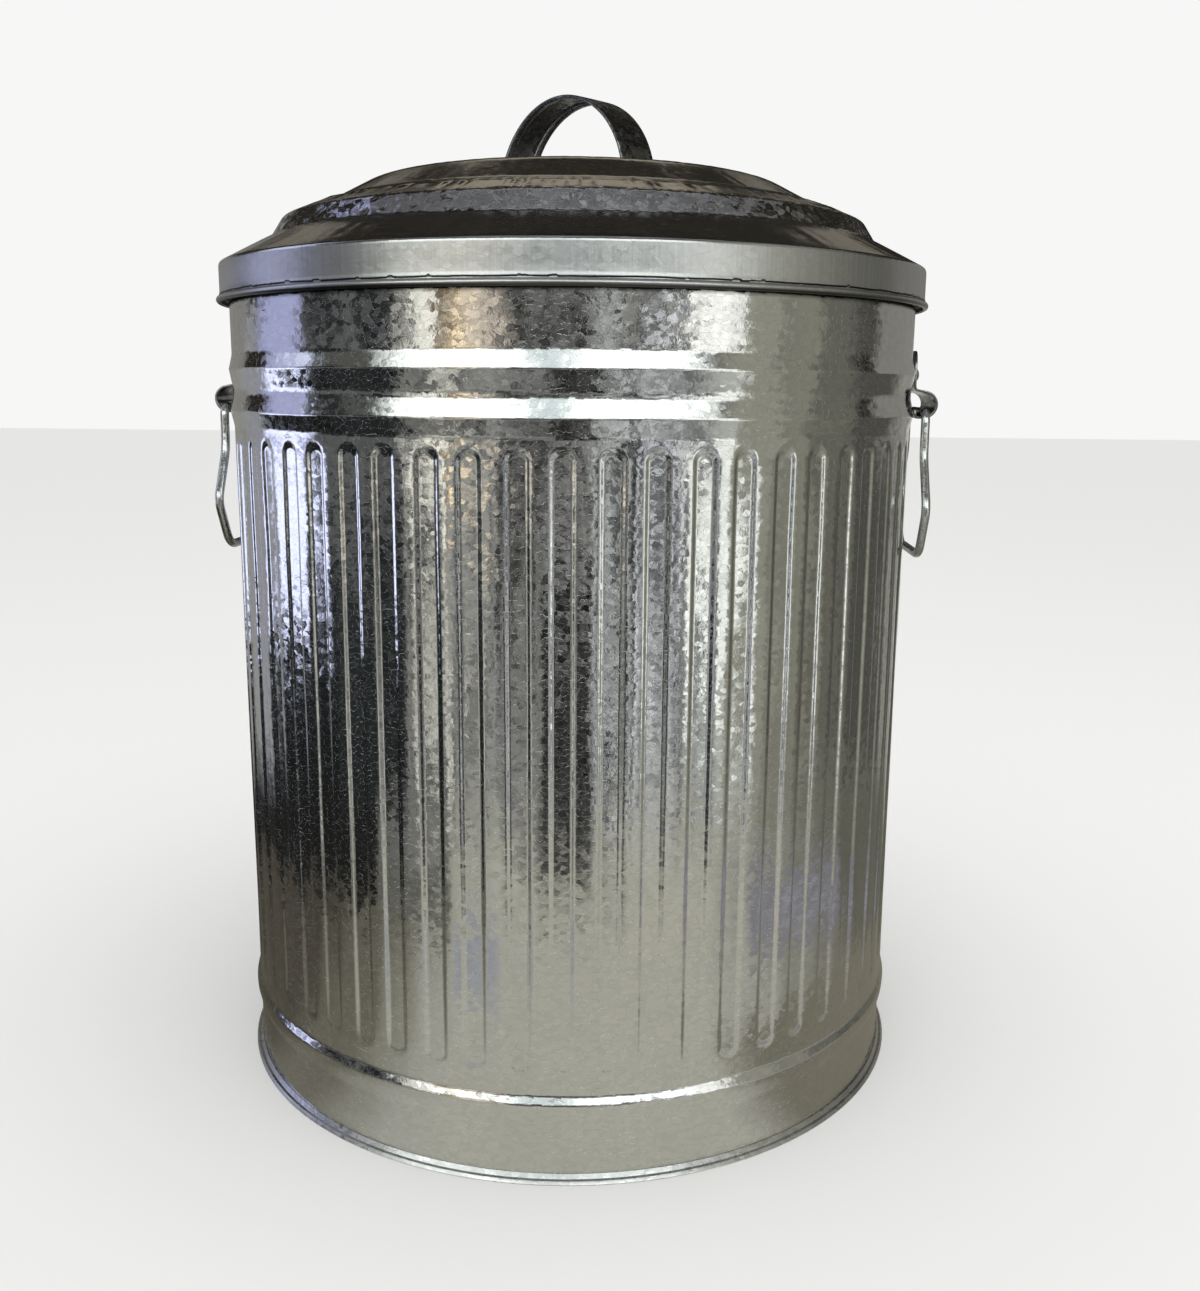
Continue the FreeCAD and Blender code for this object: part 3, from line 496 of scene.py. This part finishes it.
# the lid: one pressed sheet with a rolled hem
lid = {
    # the upper face from the middle down to the hem: radius, height and corner cut
    "outer": (
        (0, 622.0, 0), (66, 622.0, 12), (141, 610.3, 6), (170, 594.8, 2.5), (183, 591.0, 1.2),
        (199.8, 584.0, 1.6), (207.6, 571.6, 1.6), (241.2, 554.0, 0.9), (241.7, 552.4, 0.7),
        (241.7, 536.8, 0), (241.8, 535.2, 0), (242.1, 534.3, 0),
    ),
    "gap": ((241.95, 533.95), (240.98, 533.6), (240.98, 532.95)),  # the groove between skirt and hem
    "hem": (241.95, 530.95, 2.2),  # the roll's centre and radius
    "hemArc": (86, -96, 18),
    "under": ((241.3, 528.9), (240.92, 529.4), (240.9, 530.0)),
    "thick": 0.8,
    "innerTop": (0, 621.2),
    "columns": 720,
    "rowGap": 7,
    "ripples": 0.10,
    "crownFoot": 183,
    "teeth": (118, 2.5),  # jags of the crown's foot: how many round the lid, and how far they reach
    "zinc": {
        "seed": 12.4, "streak": 0.5, "tilt": 0.20, "rough": (0.07, 0.17), "dark": (0.50, 0.51, 0.52),
        # the crevice is painted shade along the groove between skirt and hem
        "flaked": (571.4, 584.6), "satin": (552.6, 0.33), "creviceShade": (533.9, 0.5),
        # painted shade: a dark band on the underside of the hem
        "paintedShade": ((500, 530.5, 0.8, 0.9),),
    },
}


def makeLid():
    turn = evenTurns(lid["columns"])
    outer = divided(rounded(lid["outer"], 6), lid["rowGap"])
    inner = offsetPath(outer, lid["thick"])[::-1]
    inner = inner[inner[:, 0] > 0.4]
    hem = arcPath(*lid["hem"], *lid["hemArc"])
    path = np.vstack([outer, lid["gap"], hem, lid["under"], inner, [lid["innerTop"]]])
    z = np.repeat(path[:, 1:2], lid["columns"], axis=1)
    r = np.repeat(path[:, 0:1], lid["columns"], axis=1)

    # ripples left by pressing, strongest on the slopes
    slope = rising(r, 150, 12) * falling(r, 200, 8) + rising(r, 210, 5) * falling(r, 240, 6)
    slope = slope + 0.5 * rising(r, 90, 30) * falling(r, 150, 12)
    ripple = waves(21, 18, 140, 45)(turn, z + r) * 0.6 + waves(22, 10, 60, 90)(turn, z - r) * 0.4
    z = z + ripple * lid["ripples"] * slope

    # the foot of the crown flattens along a jagged line, each jag like a saw's tooth
    count, reach = lid["teeth"]
    near = np.clip(1 - np.abs(r - lid["crownFoot"]) / 12, 0, 1)
    step = (turn * count / fullTurn + waves(25, 6, 9, 400)(turn, 0 * turn)) % 1
    tooth = np.where(step < 0.75, step / 0.75, (1 - step) / 0.25) - 0.5
    r = r + near * tooth * (1 + 0.5 * waves(26, 8, 45, 400)(turn, 0 * turn)) * reach
    return roundMesh("lidSheet", r, turn, z)


lidPiece = settle(makeLid(), "lid", "lid_crown", galvanized("lidZinc", **lid["zinc"]))
print("lid made:", len(lidPiece.data.polygons), "faces")


# the lid handle: a strap with folded long edges and two feet
strap = {
    "turn": -40.5,  # how far its arch is turned about the can's axis
    "width": 32.0,
    "radius": 61.5,  # of the arch, to the strap's outer face
    "centreZ": 609.5,
    "footZ": 622.1,
    "lift": 0.05,  # a hair's gap between feet and lid
    "footEnd": 37.4,
    "footFlat": 8,
    "footBend": 3.0,
    "web": 1.2,
    "fold": 2.3,
    "foldWidth": 6.0,
    "rivets": (47.206, 5.2, 623.25),  # their place along the strap, across it and up
    "zinc": {
        "seed": 18.2, "flake": 4.5, "tilt": 0.14, "rough": (0.14, 0.3),
        "dark": (0.10, 0.10, 0.10), "light": (0.46, 0.465, 0.47),
    },
}


def tubeFaces(count, rings):
    # joins rings of points into a closed tube with a face at each end
    faces = []
    for k in range(rings - 1):
        for i in range(count):
            j = (i + 1) % count
            faces.append((k * count + i, k * count + j, (k + 1) * count + j, (k + 1) * count + i))
    return faces + [list(range(count)), [(rings - 1) * count + i for i in range(count)]]


def strapSection():
    # (across, inwards) round the strap's section
    half, web, fold, flap = strap["width"] / 2, strap["web"], strap["fold"], strap["foldWidth"]
    r = fold / 2
    outer = [(u, 0.12 * (u / half) ** 2) for u in np.linspace(-half + r, half - r, 9)]
    right = [(half - r + r * math.sin(a), r - r * math.cos(a)) for a in np.radians(range(30, 181, 30))]
    right += [(half - flap + 0.5, fold), (half - flap, fold - 0.3), (half - flap + 0.1, web)]
    inner = [(u, web) for u in np.linspace(half - flap - 0.6, -half + flap + 0.6, 5)]
    left = [(-u, v) for u, v in right[::-1]]
    return outer + right + inner + left


def strapPath():
    radius, centreZ, end, bend = strap["radius"], strap["centreZ"], strap["footEnd"], strap["footBend"]
    span = math.sqrt(radius ** 2 - (strap["footZ"] - centreZ) ** 2)
    rise = math.degrees(math.asin((strap["footZ"] - centreZ) / radius))
    arch = [(radius * math.cos(a), centreZ + radius * math.sin(a), 0)
            for a in np.radians(np.linspace(rise, 180 - rise, 73))]
    foot = strap["footZ"] + strap["lift"]
    flat = end + strap["footFlat"]
    corners = [(end, foot, 0), (flat, foot, 0), (span, foot, bend), *arch[2:-2],
               (-span, foot, bend), (-flat, foot, 0), (-end, foot, 0)]
    return rounded(corners, 5)


def makeStrap():
    path = strapPath()
    ahead = np.gradient(path, axis=0)
    ahead /= np.linalg.norm(ahead, axis=1, keepdims=True)
    section = strapSection()
    points = []
    for (u, z), (aheadU, aheadZ) in zip(path, ahead):
        # on the feet the outer face of the strap is the one that lies on the lid
        for across, inwards in section:
            points.append(Vector((u - aheadZ * inwards, across, z + aheadU * inwards)) * mm)
    piece = finishMesh("lidStrap", points, tubeFaces(len(section), len(path)))
    piece.data.transform(Matrix.Rotation(math.radians(strap["turn"]), 4, "Z"))
    return piece


settle(makeStrap(), "lid", "lid_handle", galvanized("strapZinc", **strap["zinc"]))
print("lid handle made")


# the rivets: four through the strap's feet and two through each ear
rivet = {
    "head": 4.6,
    "height": 2.2,
    "shank": 2.4,
    "tail": 4.0,
    "tailHeight": 1.2,
    "handleGrip": 2.1,  # what the shank goes through
    "earGrip": 3.55,
    "columns": 28,
    "uneven": 0.02,
    "zinc": {"seed": 25.0, "flake": 2.2, "rough": (0.2, 0.34)},
}


def makeRivet(name, grip, place, lie, seed):
    # a pressed dome with its shank and tail, along +Z, before it is laid on its place
    head, height, shank, tail = rivet["head"], rivet["height"], rivet["shank"], rivet["tail"]
    low = -grip
    end = low - rivet["tailHeight"]
    path = rounded([
        (0, height, 0), (head * 0.45, height * 0.93, 1.0), (head * 0.85, height * 0.5, 1.0),
        (head, 0.25, 0.2), (head, 0.02, 0), (shank, 0.0, 0), (shank, low, 0), (tail, low, 0),
        (tail, low - 0.4, 0.3), (tail * 0.7, end, 0.5), (0, end, 0),
    ], 3)
    turn = evenTurns(rivet["columns"])
    draw = random.Random(seed)
    flat = 1 + rivet["uneven"] * np.cos(2 * turn + draw.uniform(0, 6))
    piece = roundMesh(name, path[:, 0:1] * flat, turn, path[:, 1:2], False)
    piece.data.transform(Matrix.Translation(Vector(place) * mm) @ lie.to_4x4())
    return piece


rivetZinc = galvanized("rivetZinc", **rivet["zinc"])
turnStrap = Matrix.Rotation(math.radians(strap["turn"]), 3, "Z")
along, across, up = strap["rivets"]
for i, (u, v) in enumerate(((1, 1), (1, -1), (-1, 1), (-1, -1)), 1):
    place = turnStrap @ Vector((u * along, v * across, up))
    piece = makeRivet("handleRivet%d" % i, rivet["handleGrip"], place, Matrix.Identity(3), i)
    settle(piece, "lid", "handle_rivet_%d" % i, rivetZinc)
print("handle rivets made")


# the ears: bent sheet that holds the side handles
ear = {
    "half": 28.0,  # half its width
    "thick": 1.6,
    "inner": 238.25,  # radius of the face that lies on the beads
    "top": 503.0,
    "corner": 12.0,
    "straightTo": 480.0,
    "loop": (244.2, 466.5, 9.5),  # centre and outer radius of the loop
    "stations": 29,
    "softEdge": 0.35,
    "rivetTurn": 4.2,
    "rivetZ": 486.5,
    "seat": 239.85,  # radius of the face that the rivets' heads sit on
    "zinc": {
        "seed": 31.0, "flake": 4.0, "rough": (0.14, 0.28),
        "dark": (0.22, 0.225, 0.23), "light": (0.56, 0.565, 0.57),
    },
}


def makeEar(side, sign):
    # stations across the ear; at each the sheet runs down the wall, round the loop and back behind it
    half, thick, bend = ear["half"], ear["thick"], ear["corner"]
    stations = np.linspace(-half, half, ear["stations"])
    centreR, centreZ, loop = ear["loop"]
    middle = loop - thick / 2
    rings = []
    for y in stations:
        wallX = math.sqrt((ear["inner"] + thick / 2) ** 2 - y * y)
        cut = max(abs(y) - half + bend, 0)
        top = ear["top"] - bend + math.sqrt(bend ** 2 - cut * cut)
        corners = [(wallX, top, 0), (wallX, ear["straightTo"], 0), (wallX + 0.2, centreZ + middle + 1.4, 2.2)]
        corners += [(centreR + middle * math.sin(a), centreZ + middle * math.cos(a), 0)
                    for a in np.radians(np.linspace(10, 180, 16))]
        corners += [(wallX + 1.4, centreZ - middle, 1.0), (wallX + 0.6, centreZ - middle + 5, 0)]
        rings.append(divided(rounded(corners, 4), 60))
    length = min(len(ring) for ring in rings)
    points = [(x * sign, y * sign, z) for y, ring in zip(stations, rings) for x, z in ring[:length]]
    faces = [(i * length + k, (i + 1) * length + k, (i + 1) * length + k + 1, i * length + k + 1)
             for i in range(len(rings) - 1) for k in range(length - 1)]
    piece = finishMesh("ear" + side, np.array(points) * mm, faces)
    thicken = piece.modifiers.new("thickness", "SOLIDIFY")
    thicken.thickness = thick * mm
    thicken.offset = 0
    edges = piece.modifiers.new("edges", "BEVEL")
    edges.width = ear["softEdge"] * mm
    edges.segments = 2
    edges.limit_method = "ANGLE"
    edges.angle_limit = math.radians(50)
    return piece


earZinc = galvanized("earZinc", **ear["zinc"])
for side, sign in (("Left", -1), ("Right", 1)):
    settle(makeEar(side, sign), "can", "ear_" + side.lower(), earZinc)
    for row, turn in (("Front", -1), ("Back", 1)):
        swing = Matrix.Rotation(math.radians(turn * ear["rivetTurn"] + (180 if sign < 0 else 0)), 3, "Z")
        lie = swing @ Matrix.Rotation(math.radians(90), 3, "Y")
        place = swing @ Vector((ear["seat"], 0, 0)) + Vector((0, 0, ear["rivetZ"]))
        piece = makeRivet("earRivet" + side + row, rivet["earGrip"], place, lie, side + row)
        settle(piece, "can", "ear_rivet_%s_%s" % (side.lower(), row.lower()), rivetZinc)
print("ears made")


# the side handles: one bent wire each, from the split in its top bar all the way round
bail = {
    "wire": 3.0,  # its radius
    "place": (244.2, 461.65),  # radius and height of the top bar
    "split": 0.6,
    # corners of one half: across, up and the radius of the bend
    "corners": ((35.8, 0, 7.0), (37.0, -30.0, 30.0), (57.0, -65.0, 13.0), (38.0, -98.0, 18.0)),
    "bendSteps": 10,
    "columns": 14,
    "zinc": {"seed": 40.0, "flake": 2.5, "tilt": 0.08, "rough": (0.14, 0.26), "light": (0.86, 0.87, 0.88)},
}


def bendPath(corners):
    # the wire's middle line with a smooth bend at each corner
    path = [Vector(corners[0][:2])]
    for before, (across, up, radius), after in zip(corners, corners[1:], corners[2:]):
        corner = Vector((across, up))
        inward = (Vector(before[:2]) - corner).normalized()
        outward = (Vector(after[:2]) - corner).normalized()
        half = inward.angle(outward) / 2
        centre = corner + (inward + outward).normalized() * (radius / math.sin(half))
        spoke = corner + inward * (radius / math.tan(half)) - centre
        last = corner + outward * (radius / math.tan(half)) - centre
        sweep = spoke.angle_signed(last)
        for k in range(bail["bendSteps"] + 1):
            a = -sweep * k / bail["bendSteps"]
            path.append(centre + Vector((spoke.x * math.cos(a) - spoke.y * math.sin(a),
                                         spoke.x * math.sin(a) + spoke.y * math.cos(a))))
    path.append(Vector(corners[-1][:2]))
    return path


def makeBail(side, sign):
    near = [(bail["split"], 0, 0), *bail["corners"]]
    path = bendPath(near + [(-across, up, bend) for across, up, bend in near[::-1]])
    centreR, centreZ = bail["place"]
    points = []
    for i, here in enumerate(path):
        ahead = path[min(i + 1, len(path) - 1)] - here
        behind = here - path[max(i - 1, 0)]
        along = (ahead.normalized() + behind.normalized()).normalized()
        across = Vector((-along.y, along.x))
        for k in range(bail["columns"]):
            a = fullTurn * k / bail["columns"]
            out = bail["wire"] * math.cos(a)
            flat = across * (bail["wire"] * math.sin(a))
            points.append((sign * (centreR + out), sign * (here.x + flat.x), centreZ + here.y + flat.y))
    return finishMesh("handleWire" + side, np.array(points) * mm, tubeFaces(bail["columns"], len(path)))


wireZinc = galvanized("wireZinc", **bail["zinc"])
for side, sign in (("Left", -1), ("Right", 1)):
    settle(makeBail(side, sign), "handle_" + side.lower(), "bail_" + side.lower(), wireZinc)
print("side handles made")


camera = {
    "lens": 35.55,
    "place": (0.0734, -0.9329, 0.4777),  # in metres
    "turn": -3.258,
    "pitch": 11.525,
    "roll": 0.467,
}


def makeCamera():
    data = bpy.data.cameras.new("camera")
    data.sensor_width = 36
    data.sensor_fit = "AUTO"
    data.lens = camera["lens"]
    data.clip_start = 0.05
    view = bpy.data.objects.new("camera", data)
    bpy.context.scene.collection.objects.link(view)
    yaw, pitch, roll = (math.radians(camera[k]) for k in ("turn", "pitch", "roll"))
    forward = Vector((math.sin(yaw) * math.cos(pitch), math.cos(yaw) * math.cos(pitch), -math.sin(pitch)))
    right = Vector((math.cos(yaw), -math.sin(yaw), 0))
    up = right.cross(forward)
    across = right * math.cos(roll) + up * math.sin(roll)
    upright = -right * math.sin(roll) + up * math.cos(roll)
    turn = Matrix((across, upright, -forward)).transposed()
    view.matrix_world = Matrix.Translation(camera["place"]) @ turn.to_4x4()
    bpy.context.scene.camera = view


makeCamera()
print("camera placed")


# What the zinc mirrors. A card is its azimuths and its heights above the horizon in degrees, how soft its
# edges are both ways, and its colour. On the near floor the second pair is the distance from the can's axis.
# A later card covers the ones before it. The studio's lengths are metres.
studio = {
    "farBase": (0.10, 0.10, 0.09),
    "far": (
        ("rightNear", (54, 76), (-40, 44), 4, 6, (0.33, 0.325, 0.265)),
        ("rightMiddle", (76, 90), (-40, 44), 4, 6, (0.26, 0.255, 0.205)),
        ("rightFar", (90, 108), (-40, 44), 5, 6, (0.15, 0.148, 0.12)),
        ("rightEdge", (108, 145), (-40, 44), 6, 6, (0.085, 0.083, 0.07)),
        ("rightLow", (88, 145), (-40, -17), 5, 1.5, (0.19, 0.185, 0.15)),
        ("leftEdge", (-165, -115), (-40, 44), 4, 6, (0.33, 0.335, 0.36)),
        ("middle", (-62, 44), (-30, 16), 3, 3, (0.26, 0.26, 0.24)),
        ("leftGrey", (-56, -43), (-60, -7), 3, 3, (0.19, 0.19, 0.175)),
        ("leftPale", (-43, -33), (-30, -2), 2, 3, (0.50, 0.49, 0.43)),
        ("leftMiddle", (-32, -20), (-30, -2), 3, 3, (0.20, 0.20, 0.185)),
        ("middleDark", (-20, 12), (-30, 16), 3, 3, (0.18, 0.178, 0.17)),
        ("middleDarkest", (-4, 15), (-30, -10), 3, 2, (0.035, 0.035, 0.034)),
        ("middleLevel", (-18, 14), (-3.2, 1.5), 3, 1, (0.05, 0.05, 0.05)),
        ("rightGrey", (13, 27), (-30, -2), 2, 3, (0.46, 0.465, 0.46)),
        ("rightPale", (24, 42), (-14, 3), 3, 3, (0.66, 0.67, 0.69)),
        ("rightPaleLow", (24, 50), (-30, -13), 3, 3, (0.38, 0.39, 0.38)),
        ("paleLine", (12, 17), (-30, 8), 1.5, 3, (0.50, 0.52, 0.50)),
        ("darkLine", (21, 24.5), (-30, 3), 1.5, 3, (0.10, 0.10, 0.10)),
        ("cream", (-53, -38), (-5, 16), 4, 4, (0.90, 0.88, 0.78)),
        ("orange", (-38, -27), (-3, 16), 3, 3, (0.88, 0.70, 0.46)),
        ("tan", (-27, -18), (-3, 16), 4, 3, (0.60, 0.52, 0.42)),
        ("whiteStrip", (39, 57), (-3, 16), 2, 3, (1.15, 1.15, 1.08)),
        ("whiteStripLow", (46, 60), (-15, -3), 2, 4, (1.2, 1.24, 1.16)),
        ("whiteStripFoot", (46, 61), (-30, -15), 2, 3, (0.52, 0.53, 0.49)),
        ("darkLeft", (-87, -53), (-40, 16), 2, 3, (0.022, 0.025, 0.025)),
        ("darkLeftHigh", (-87, -53), (-6, 2), 2, 2, (0.12, 0.12, 0.12)),
        ("darkLeftLine", (-72, -68), (-8, 16), 1.5, 4, (0.14, 0.15, 0.14)),
        ("violetHigh", (-115, -90), (-2, 44), 3, 2, (0.46, 0.48, 0.74)),
        ("violetLow", (-113, -88), (-10.2, -2), 3, 1.5, (1.25, 1.32, 1.8)),
        ("blackLeft", (-117, -80), (-60, -11.3), 3, 1, (0.012, 0.013, 0.013)),
        ("highBand", (-58, 46), (11, 37), 8, 2, (1.7, 1.78, 1.7)),
        ("highBandBar", (-10, 3), (11, 37), 4, 2, (0.85, 0.95, 0.95)),
        ("highBandLeft", (-118, -88), (14, 28), 4, 3, (0.8, 0.86, 1.1)),
        ("overhead", (-200, 200), (46, 95), 6, 6, (0.15, 0.15, 0.155)),
        ("behind", (112, 248), (4, 66), 4, 2, (0.022, 0.019, 0.014)),
        ("behindDark", (166, 202), (4, 28), 4, 2, (0.014, 0.013, 0.011)),
        ("behindDarkHigh", (150, 214), (50, 66), 4, 1, (0.012, 0.011, 0.009)),
        ("behindBeige", (173, 197), (30, 39.5), 3, 1.5, (0.34, 0.30, 0.235)),
        ("behindBeigeLeft", (198, 208), (19, 30), 3, 2, (0.20, 0.18, 0.145)),
        ("behindBeigeRight", (158, 171), (19, 30), 3, 2, (0.20, 0.18, 0.145)),
        ("behindFoot", (138, 225), (-45, 2), 8, 2, (0.30, 0.295, 0.26)),
        ("behindFootPale", (160, 176), (-45, 2), 4, 2, (0.60, 0.59, 0.54)),
        ("behindFootDark", (191, 203), (-45, 2), 3, 2, (0.07, 0.07, 0.065)),
        ("behindLowLeft", (199, 230), (-2, 15), 3, 3, (0.25, 0.24, 0.22)),
        ("behindLowRight", (120, 160), (-2, 15), 3, 3, (0.25, 0.24, 0.22)),
    ),
    # small dark and light things for the crystals to catch: how fine, how dark, how light,
    # and the heights at which they have died away and at which they show in full
    "busyLow": (13.0, 0.2, 1.8, (12.0, 4.0)),
    "busyLowAcross": (-60, 48),
    "busyHigh": (10.0, 0.08, 3.4, (60.0, 66.0)),
    "nearBase": (0.5, 0.5, 0.5),
    "near": (
        ("all", (-200, 200), (0, 5), 1, 1, (0.40, 0.39, 0.32)),
        ("left", (-200, -33), (0, 5), 6, 1, (0.25, 0.24, 0.185)),
        ("leftDim", (-200, -43), (0, 5), 6, 1, (0.125, 0.115, 0.085)),
        ("leftDark", (-200, -64), (0, 5), 8, 1, (0.06, 0.052, 0.04)),
        ("middle", (-24, 42), (0, 5), 9, 1, (0.50, 0.488, 0.405)),
        ("right", (58, 200), (0, 5), 8, 1, (0.27, 0.26, 0.21)),
        ("rightDim", (76, 200), (0, 5), 8, 1, (0.19, 0.18, 0.145)),
        ("rightEdge", (90, 200), (0, 5), 6, 1, (0.135, 0.13, 0.105)),
        ("rightFoot", (42, 200), (0, 0.39), 8, 0.02, (0.21, 0.195, 0.15)),
        ("leftBlack", (-132, -50), (0.585, 5), 5, 0.05, (0.015, 0.015, 0.014)),
        ("leftGrey", (-50, -30), (0.58, 0.74), 3, 0.05, (0.13, 0.13, 0.115)),
        ("leftGreyFar", (-50, -30), (0.74, 5), 3, 0.03, (0.22, 0.22, 0.20)),
        ("middleDark", (-8, 14), (0.70, 5), 5, 0.14, (0.07, 0.068, 0.062)),
        ("blueLeft", (-25, -13), (0.46, 0.61), 4, 0.04, (0.37, 0.38, 0.40)),
        ("blueRight", (52, 92), (0.49, 0.67), 5, 0.04, (0.235, 0.23, 0.25)),
        ("blueStreak", (60, 84), (0.54, 0.58), 5, 0.015, (0.33, 0.33, 0.36)),
        ("behind", (134, 226), (0, 5), 9, 1, (0.40, 0.39, 0.33)),
        ("shade", (-200, 200), (0.0, 0.243), 1, 0.004, (0.18, 0.17, 0.13)),
    ),
    "nearReach": (0.72, 1.02),  # where the near floor starts to fade and where it ends
    "nearLow": -0.0005,
    "soft": (0.93, 0.93, 0.925),  # the light that falls on everything from all round
    "paper": (0.9, 0.9, 0.89),
    "paperRough": 0.85,
    "floorReach": 12,
    "lamp": {
        "place": (0.3, -0.6, 2.2),
        "target": (0, 0, 0.2),
        "size": 1.4,
        "power": 9,
        "colour": (1, 0.99, 0.97),
    },
}


def paintCards(add, base, azimuth, rise, cards):
    colour = (*base, 1)
    for name, (left, right), (low, high), softAcross, softUp, tint in cards:
        # the way round to the card's middle, from -180 to 180
        off = calc(add, "WRAP", calc(add, "SUBTRACT", azimuth, (left + right) / 2), 180.0)
        off.node.inputs[2].default_value = -180.0
        half = (right - left) / 2
        across = spread(add, calc(add, "ABSOLUTE", off), half - softAcross, half + softAcross, 1.0, 0.0)
        off = calc(add, "ABSOLUTE", calc(add, "SUBTRACT", rise, (low + high) / 2))
        half = (high - low) / 2
        up = spread(add, off, half - softUp, half + softUp, 1.0, 0.0)
        for edge in (across, up):
            edge.node.interpolation_type = "SMOOTHSTEP"
        colour = mixColour(add, calc(add, "MULTIPLY", across, up), colour, (*tint, 1))
        colour.node.label = name
    return colour


def azimuthOf(add, x, y):
    return calc(add, "MULTIPLY", calc(add, "ARCTAN2", x, calc(add, "MULTIPLY", y, -1.0)), 180 / math.pi)


def makeWorld():
    world = bpy.data.worlds.new("studio")
    bpy.context.scene.world = world
    world.use_nodes = True
    world.node_tree.nodes.clear()
    add = nodeKit(world.node_tree)
    toward = vectorCalc(add, "NORMALIZE", add("ShaderNodeTexCoord", output=0))
    split = add("ShaderNodeSeparateXYZ", {0: toward}).node
    x, y, z = (split.outputs[k] for k in range(3))
    turn = azimuthOf(add, x, y)
    rise = calc(add, "MULTIPLY", calc(add, "ARCSINE", z), 180 / math.pi)
    colour = paintCards(add, studio["farBase"], turn, rise, studio["far"])

    # the small things stand low down in front, and overhead all round
    tall = vectorCalc(add, "MULTIPLY", toward, (1.0, 1.0, 0.45))
    left, right = studio["busyLowAcross"]
    off = calc(add, "ABSOLUTE", calc(add, "SUBTRACT", turn, (left + right) / 2))
    half = (right - left) / 2
    inFront = spread(add, off, half - 5, half + 5, 1.0, 0.0)
    for values, across in ((studio["busyLow"], inFront), (studio["busyHigh"], 1.0)):
        scale, darkest, lightest, (none, full) = values
        things = spread(add, noise(add, tall, scale, 3.0, 0.6), 0.40, 0.62, darkest, lightest)
        where = calc(add, "MULTIPLY", spread(add, rise, none, full, 0.0, 1.0), across)
        things = mixColour(add, where, (1, 1, 1, 1), things)
        colour = mixColour(add, 1.0, colour, things, "MULTIPLY")

    glossy = add("ShaderNodeLightPath", output=3)
    mirrored = add("ShaderNodeBackground", {"Color": colour, "Strength": 1.0})
    plain = add("ShaderNodeBackground", {"Color": (*studio["soft"], 1), "Strength": 1.0})
    both = add("ShaderNodeMixShader", {0: glossy, 1: plain, 2: mirrored})
    add("ShaderNodeOutputWorld", {"Surface": both})


def flatSquare(name, reach, z, material):
    mesh = bpy.data.meshes.new(name)
    corners = [(-reach, -reach, z), (reach, -reach, z), (reach, reach, z), (-reach, reach, z)]
    mesh.from_pydata(corners, [], [(0, 1, 2, 3)])
    mesh.materials.append(material)
    square = bpy.data.objects.new(name, mesh)
    bpy.context.scene.collection.objects.link(square)
    return square


def makeFloor():
    paper = bpy.data.materials.new("palePaper")
    paper.use_nodes = True
    shader = paper.node_tree.nodes["Principled BSDF"]
    shader.inputs["Base Color"].default_value = (*studio["paper"], 1)
    shader.inputs["Roughness"].default_value = studio["paperRough"]
    flatSquare("studioFloor", studio["floorReach"], 0, paper).visible_glossy = False


def makeNearFloor():
    # the near floor as the zinc mirrors it; nothing else sees it
    material = bpy.data.materials.new("mirroredFloor")
    material.use_nodes = True
    material.node_tree.nodes.clear()
    add = nodeKit(material.node_tree)
    split = add("ShaderNodeSeparateXYZ", {0: add("ShaderNodeTexCoord", output=3)}).node
    x, y = split.outputs[0], split.outputs[1]
    away = calc(add, "SQRT", calc(add, "ADD", calc(add, "MULTIPLY", x, x), calc(add, "MULTIPLY", y, y)))
    colour = paintCards(add, studio["nearBase"], azimuthOf(add, x, y), away, studio["near"])
    start, end = studio["nearReach"]
    fade = spread(add, away, start, end, 1.0, 0.0)
    glow = add("ShaderNodeEmission", {"Color": colour})
    clear = add("ShaderNodeBsdfTransparent")
    add("ShaderNodeOutputMaterial", {"Surface": add("ShaderNodeMixShader", {0: fade, 1: clear, 2: glow})})
    card = flatSquare("mirroredFloor", end, studio["nearLow"], material)
    for way in ("visible_camera", "visible_diffuse", "visible_transmission", "visible_shadow"):
        setattr(card, way, False)


def makeLamp():
    lamp = studio["lamp"]
    data = bpy.data.lights.new("topLight", "AREA")
    data.shape = "RECTANGLE"
    data.size = data.size_y = lamp["size"]
    data.energy = lamp["power"]
    data.color = lamp["colour"]
    box = bpy.data.objects.new("topLight", data)
    bpy.context.scene.collection.objects.link(box)
    box.location = lamp["place"]
    aim = Vector(lamp["target"]) - Vector(lamp["place"])
    box.rotation_euler = aim.to_track_quat("-Z", "Y").to_euler()
    box.visible_glossy = False  # the zinc mirrors the studio's own cards


makeFloor()
makeWorld()
makeNearFloor()
makeLamp()
bpy.context.scene.view_settings.view_transform = "Standard"
print("studio made")
